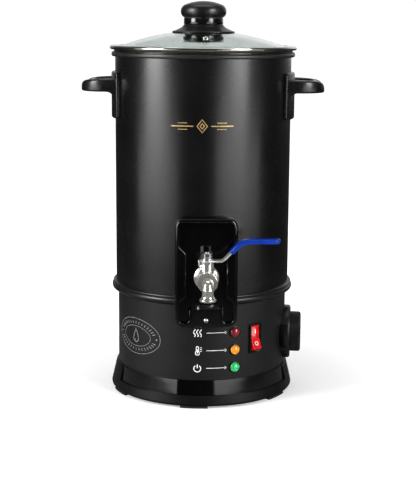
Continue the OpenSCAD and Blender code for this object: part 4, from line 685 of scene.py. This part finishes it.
def filleted(corners, radius, steps=5):
    # A closed path of straight runs with each corner turned through an arc
    path = []
    for before, at, after in zip(corners[-1:] + corners[:-1], corners, corners[1:] + corners[:1]):
        at, one, two = Vector(at), Vector(before) - Vector(at), Vector(after) - Vector(at)
        half = one.angle(two) / 2
        cut = min(radius / tan(half), one.length * 0.49, two.length * 0.49)
        start, end, r = at + one.normalized() * cut, at + two.normalized() * cut, cut * tan(half)
        middle = at + (one.normalized() + two.normalized()).normalized() * r / sin(half)
        for i in range(steps + 1):
            spoke = (start - middle).lerp(end - middle, i / steps).normalized() * r
            path.append(middle + spoke)
    return path


def bridged(bm, rings):
    for one, two in zip(rings, rings[1:]):
        bmesh.ops.bridge_loops(bm, edges=one + two)


def ringOf(bm, points):
    row = [bm.verts.new([c * mm for c in point]) for point in points]
    return [bm.edges.new(pair) for pair in zip(row, row[1:] + row[:1])]


def makeTapPlate(look):
    # A hollow-backed cover: its outer edge is one wide roll, and the panel is sunk behind a narrow rim
    half, middle = look["width"] / 2, (look["top"] + look["foot"]) / 2
    tall = (look["top"] - look["foot"]) / 2

    def outline(inset):
        x, z, r = half - look["corner"], tall - look["corner"], look["corner"] - inset
        side = [height - middle for height, radius in look["backs"][1:-1]]
        path = arc((x, z), r, 0, 90, 8) + [(x * (1 - i / 5), z + r) for i in range(1, 10)]
        path += arc((-x, z), r, 90, 180, 8) + [(-x - r, height) for height in side]
        path += arc((-x, -z), r, 180, 270, 8) + [(x * (i / 5 - 1), -z - r) for i in range(1, 10)]
        return path + arc((x, -z), r, 270, 360, 8) + [(x + r, height) for height in side[::-1]]

    def backOf(x, z):
        radius = next(radius for height, radius in look["backs"] if z + middle >= height - 0.01 or
                      height == look["foot"])
        return -sqrt(radius ** 2 - x ** 2)

    def onBlock(x, z):
        # The block's upper face slopes from the panel out to the rim
        share = min(max((z - look["blockTop"]) / look["ledgeRun"] + 1, 0), 1)
        return z - look["ledge"] * share if abs(x) < look["blockWidth"] / 2 + 0.01 else z

    bm = bmesh.new()
    back = ringOf(bm, [(x, backOf(x, z), z + middle) for x, z in outline(0)])
    rings = [back]
    for i in range(look["rollSteps"] + 1):
        turn = radians(90 * i / look["rollSteps"])
        rings.append(ringOf(bm, [(x, look["roll"] * (1 - sin(turn)) - look["front"], z + middle)
                                 for x, z in outline(look["roll"] * (1 - cos(turn)))]))
    bridged(bm, rings)

    def panel(grown):
        x, narrow = half - look["rim"] + grown, half - look["rim"] - look["land"] + grown * look["landEdge"]
        top, foot = look["top"] - look["rim"] + grown, look["foot"] + look["rim"] - grown
        block = look["blockWidth"] / 2 - grown
        right = [(block, look["blockTop"]), (block, foot), (x, foot), (x, look["landFoot"] - look["land"]),
                 (narrow, look["landFoot"]), (narrow, look["landTop"] - look["landBend"]),
                 (x, look["landTop"]), (x, top)]
        return filleted(right + [(-a, b) for a, b in reversed(right)], look["panelCorner"])

    walls, edge = [], look["panelEdge"]
    for i in range(look["edgeSteps"] + 1):
        turn = radians(90 * i / look["edgeSteps"])
        walls.append(ringOf(bm, [(a, edge * (1 - cos(turn)) - look["front"], onBlock(a, b))
                                 for a, b in panel(edge * (1 - sin(turn)))]))
    sunk = ringOf(bm, [(a, look["panelDepth"] - look["front"], b) for a, b in panel(0)])
    bridged(bm, walls + [sunk])
    bmesh.ops.triangle_fill(bm, use_beauty=True, edges=rings[-1] + walls[0])
    bmesh.ops.triangle_fill(bm, use_beauty=True, edges=sunk)
    # The back is made of strips that follow the pot, the joint ring and the base
    across = outline(0)[:27]    # the upper side with its two corners
    strips = [[(x, backOf(x, z), z + middle) for x, z in across]]
    strips += [[(x, -sqrt(radius ** 2 - x ** 2), height) for x, z in across]
               for height, radius in look["backs"][1:-1]]
    strips += [[(x, backOf(x, -z), middle - z) for x, z in across]]
    rows = [[bm.verts.new([c * mm for c in point]) for point in strip] for strip in strips]
    bridged(bm, [[bm.edges.new(pair) for pair in zip(row, row[1:])] for row in rows])
    bmesh.ops.remove_doubles(bm, verts=bm.verts, dist=joinGap)
    faceOut(bm)
    finishPiece(bm, "tapPlate", "polishedBlackAbs", "melter", ("tap_plate",), sharp=40)


makeTapPlate(tapPlate)
for node in ("valve_body", "gland_nut", "lever", "lever_nut", "spout_nozzle"):
    refined(node)

sleeve = {"stemY": -119.5, "width": 12.5, "height": 5.0, "reach": 73.4, "slopeStart": 15.5, "slopeRun": 19.8,
          "rise": 19.9, "base": 161.2, "bend": 18.0, "onSlope": 9.3, "tip": 6.0, "edge": 2.1, "slices": 40}


def makeSleeve(look):
    # A straight, fully rounded bar, bent along the lever's own line
    slope = atan2(look["rise"], look["slopeRun"])
    run = look["bend"] * tan(slope / 2)
    middle = Vector((look["slopeStart"] + look["slopeRun"] + run, look["base"] + look["rise"] - look["bend"]))
    sweep = look["bend"] * slope
    level = look["reach"] - middle.x
    length = look["onSlope"] + sweep + level
    bm = bmesh.new()
    bmesh.ops.create_cube(bm, size=1)
    bmesh.ops.scale(bm, vec=(length, look["width"], look["height"]), verts=bm.verts)
    bmesh.ops.translate(bm, vec=(length / 2, 0, 0), verts=bm.verts)
    tip = [e for e in bm.edges if all(v.co.x > length - 0.1 for v in e.verts) and
           abs(e.verts[0].co.z - e.verts[1].co.z) > 1]
    bevelled(bm, tip, look["tip"], 10, clamp=False)
    bevelled(bm, sharpEdges(bm, edgeTurn), look["edge"], 5, clamp=False)
    for i in range(1, look["slices"]):
        bmesh.ops.bisect_plane(bm, geom=bm.verts[:] + bm.edges[:] + bm.faces[:],
                               plane_co=(length * i / look["slices"], 0, 0), plane_no=(1, 0, 0))
    up = Vector((-sin(slope), cos(slope)))
    along = Vector((cos(slope), sin(slope)))
    for v in bm.verts:
        far, height = v.co.x, v.co.z
        if far < look["onSlope"]:
            spot = middle + up * (look["bend"] + height) - along * (look["onSlope"] - far)
        elif far < look["onSlope"] + sweep:
            turn = pi / 2 + slope - (far - look["onSlope"]) / look["bend"]
            spot = middle + Vector((cos(turn), sin(turn))) * (look["bend"] + height)
        else:
            spot = middle + Vector((far - look["onSlope"] - sweep, look["bend"] + height))
        v.co = Vector((spot.x, v.co.y + look["stemY"], spot.y)) * mm
    faceOut(bm)
    finishPiece(bm, "leverSleeve", "dippedVinyl", "tap_lever", ("lever_sleeve",), sharp=50)


makeSleeve(sleeve)
print("tap done")


for node in ("dial_bezel", "switch_frame", "switch_rocker", "lamp_bodies", "inlet_body"):
    refined(node)

dial = {"angle": 82, "height": 61, "radius": 21.9, "back": 98.4, "front": 109.5, "ribs": 60, "ribDepth": 0.6,
        # outwards in mm and the scale after each step: the rounded edge, and the sunk face inside it
        "edge": [(0.4, 0.985), (0.6, 0.975), (0.45, 0.97), (0.2, 0.96), (0.05, 0.93)], "edgeDepth": 1.7,
        "face": [(-0.25, 0.98), (-0.1, 0.97), (0.0, 0.6), (0.0, 0.05)]}


def makeDial(look):
    bm = bmesh.new()
    bmesh.ops.create_circle(bm, cap_ends=False, segments=look["ribs"] * 6, radius=1)
    for v in bm.verts:
        turn = atan2(v.co.y, v.co.x) * look["ribs"]
        reach = look["radius"] - look["ribDepth"] * (0.5 - 0.5 * cos(turn))
        v.co = (v.co.xy.normalized() * reach).to_3d() * mm
        v.co.z = look["back"] * mm
    ring = bm.edges[:]

    def grow(edges, lift, scale):
        made = bmesh.ops.extrude_edge_only(bm, edges=edges)["geom"]
        for v in cornersOf(made):
            v.co.x, v.co.y, v.co.z = v.co.x * scale, v.co.y * scale, v.co.z + lift * mm
        return [e for e in made if isinstance(e, bmesh.types.BMEdge)]

    side = (look["front"] - look["back"] - look["edgeDepth"], 1.0)
    for lift, scale in [side] + look["edge"] + look["face"]:
        ring = grow(ring, lift, scale)
    bmesh.ops.holes_fill(bm, edges=[e for e in bm.edges if e.is_boundary], sides=0)
    faceOut(bm)
    bmesh.ops.transform(bm, matrix=outward(look["angle"], look["height"]), verts=bm.verts)
    finishPiece(bm, "thermostatDial", "satinMouldedAbs", "dial", ("thermostat_dial",), sharp=30)


makeDial(dial)
print("base done")


def stroke(bm, points, width, closed=False):
    # A flat printed line through points in mm, in the plane of its mark
    spots = [Vector((x, y)) for x, y in points]
    count = len(spots)
    rows = []
    for i, spot in enumerate(spots):
        before = spots[(i - 1) % count] if closed or i else spot
        after = spots[(i + 1) % count] if closed or i < count - 1 else spot
        along = (after - before).normalized()
        rows.append((spot, Vector((-along.y, along.x)) * width / 2))
    first = [bm.verts.new((spot + side).to_3d()) for spot, side in rows]
    pairs = list(zip(first, first[1:])) + ([(first[-1], first[0])] if closed else [])
    line = [bm.edges.new(pair) for pair in pairs]
    for v in cornersOf(bmesh.ops.extrude_edge_only(bm, edges=line)["geom"]):
        spot, side = min(rows, key=lambda row: ((row[0] + row[1]).to_3d() - v.co).length_squared)
        v.co = (spot - side).to_3d()


def oval(middle, wide, high, steps):
    turns = [radians(360 * i / steps) for i in range(steps)]
    return [(middle[0] + wide * cos(a), middle[1] + high * sin(a)) for a in turns]


def printOn(bm, name, finish, body, radius=None, angle=0.0, height=0.0, matrix=None, thick=0.12,
            lift=0.03):
    # Gives the flat marks their ink's thickness and lays them on the round side, or on a flat face
    for v in cornersOf(bmesh.ops.extrude_face_region(bm, geom=bm.faces[:])["geom"]):
        v.co.z += thick
    faceOut(bm)
    for v in bm.verts:
        if matrix:
            v.co = matrix @ ((v.co + Vector((0, 0, lift))) * mm)
        else:
            turn = radians(angle) + v.co.x / radius
            out = radius + lift + v.co.z
            v.co = Vector((out * sin(turn), -out * cos(turn), height + v.co.y)) * mm
    finishPiece(bm, name, finish, body, sharp=30)


# Places in mm from the front's middle line, waves and sign to its left; bulb and ring are radii
lampRow = {"angle": 19.6, "radius": 91.7, "heights": (79.3, 60.4, 41.5), "line": 0.95,
           "waves": (11.5, 8.3, 5.1), "sign": 8.3, "bulb": 2.1, "ring": 3.6, "leader": (1.0, 20.5, 22.2)}


def makeLampMarks(look):
    # Each row has a plain sign and a leader to its lamp: rising heat, a thermometer, a standby ring
    left = -look["radius"] * radians(look["angle"])
    sign, width = left - look["sign"], look["line"]
    bm = bmesh.new()
    for x in look["waves"]:
        wave = [(left - x + 0.9 * sin(t * 0.78), look["heights"][0] - 4 + t * 0.8) for t in range(11)]
        stroke(bm, wave, width)
    y = look["heights"][1]
    stem = [(sign - 1.2, y - 1.0), (sign - 1.2, y + 3.2)] + arc((sign, y + 3.2), 1.2, 180, 0, 8)
    stroke(bm, stem + [(sign + 1.2, y - 1.0)], width * 0.8)
    stroke(bm, arc((sign, y - 2.6), look["bulb"], 55, -235, 20), width * 0.8)
    stroke(bm, [(sign, y - 2.8), (sign, y + 1.4)], width)
    for step in (-0.6, 1.3, 3.2):
        stroke(bm, [(left - 5.6, y + step), (left - 3.7, y + step)], width * 0.7)
    y = look["heights"][2]
    stroke(bm, arc((sign, y - 0.3), look["ring"], 125, 415, 30), width)
    stroke(bm, [(sign, y + 0.2), (sign, y + 4.4)], width)
    start, head, end = (left + x for x in look["leader"])
    for y in look["heights"]:
        stroke(bm, [(start + 1.5 * i, y) for i in range(14)], width * 0.55)
        stroke(bm, [(head, y + 1.4), (end, y), (head, y - 1.4)], width * 0.55)
    printOn(bm, "lampMarks", "paddedWhiteInk", "melter", look["radius"], look["angle"])


makeLampMarks(lampRow)

badge = {"angle": -51.85, "radius": 91.7, "height": 68.0, "halfWide": 34.0, "halfHigh": 19.0,
         "inset": (12.5, 8.2), "ticks": 36, "tickReach": (4.2, 8.4)}


def makeBadge(look):
    bm = bmesh.new()
    wide, high = look["halfWide"], look["halfHigh"]
    stroke(bm, oval((0, 0), wide, high, 96), 0.5, True)
    stroke(bm, oval((0, 0), wide - look["inset"][0], high - look["inset"][1], 72), 0.45, True)
    # Short ticks between the two ovals, above and below
    for i in range(look["ticks"]):
        turn = radians(i * 360 / look["ticks"])
        if abs(sin(turn)) > 0.2:
            stroke(bm, [((wide - reach) * cos(turn), (high - reach * 0.72) * sin(turn))
                        for reach in look["tickReach"]], 0.8)
    # A plain drop in the middle
    drop = [(0, 8.2), (1.4, 5.0), (3.0, 1.6), (3.9, -1.4)] + arc((0, -2.6), 4.0, 10, -190, 18)
    drop += [(-3.0, 1.6), (-1.4, 5.0)]
    stroke(bm, drop, 0.9, True)
    stroke(bm, arc((0, -2.6), 2.2, 200, 260, 6), 0.6)
    for x in (-1, 1):
        stroke(bm, oval((x * (wide - 4.5), 0), 0.55, 0.55, 12), 0.9, True)
    printOn(bm, "ovalBadge", "printedSilverInk", "melter", look["radius"], look["angle"],
            look["height"])


makeBadge(badge)

ornament = {"radius": 94.0, "angle": -2.9, "height": 293.5, "half": 32.0, "gap": 9, "sideGap": 15,
            "sideRise": 3.2}


def makeOrnament(look):
    # A plain divider in gold on the front of the pot
    bm = bmesh.new()
    gap, near, half = look["gap"], look["sideGap"], look["half"]
    for side in (-1, 1):
        stroke(bm, [(side * (gap + (half - gap) * i / 12), 0) for i in range(13)], 1.1)
        for y in (look["sideRise"], -look["sideRise"]):
            stroke(bm, [(side * (near + (half - near - 7) * i / 8), y) for i in range(9)], 0.7)
    stroke(bm, [(0, 6.5), (5.2, 0), (0, -6.5), (-5.2, 0)], 1.2, True)
    stroke(bm, [(0, 2.6), (2.1, 0), (0, -2.6), (-2.1, 0)], 1.3, True)
    printOn(bm, "goldDivider", "stampedGoldFoil", "melter", look["radius"], look["angle"],
            look["height"], lift=0.02, thick=0.05)


makeOrnament(ornament)

rocker = {"angle": 35, "height": 69.7, "pivot": 89.2, "tilt": 12, "front": 3.4, "end": (12.2, 6.11),
          "markAt": 6.4, "bar": 2.2, "ring": 1.9}


def makeRockerMarks(look):
    slope = atan2(look["end"][1] - look["front"], look["end"][0])
    base = outward(look["angle"], look["height"]) @ Matrix.Translation((0, 0, look["pivot"] * mm))
    base = base @ Matrix.Rotation(radians(-look["tilt"]), 4, "X")
    for name, side in (("rockerOnMark", 1), ("rockerOffMark", -1)):
        middle = Vector((0, side * look["markAt"], look["front"] + look["markAt"] * tan(slope))) * mm
        place = base @ Matrix.Translation(middle) @ Matrix.Rotation(side * slope, 4, "X")
        bm = bmesh.new()
        if side > 0:
            stroke(bm, [(0, -look["bar"]), (0, look["bar"])], 0.95)
        else:
            stroke(bm, oval((0, 0), look["ring"], look["ring"], 28), 0.7, True)
        printOn(bm, name, "paddedWhiteInk", "rocker", matrix=place, thick=0.1, lift=0.0)


makeRockerMarks(rocker)
print("printed marks done")
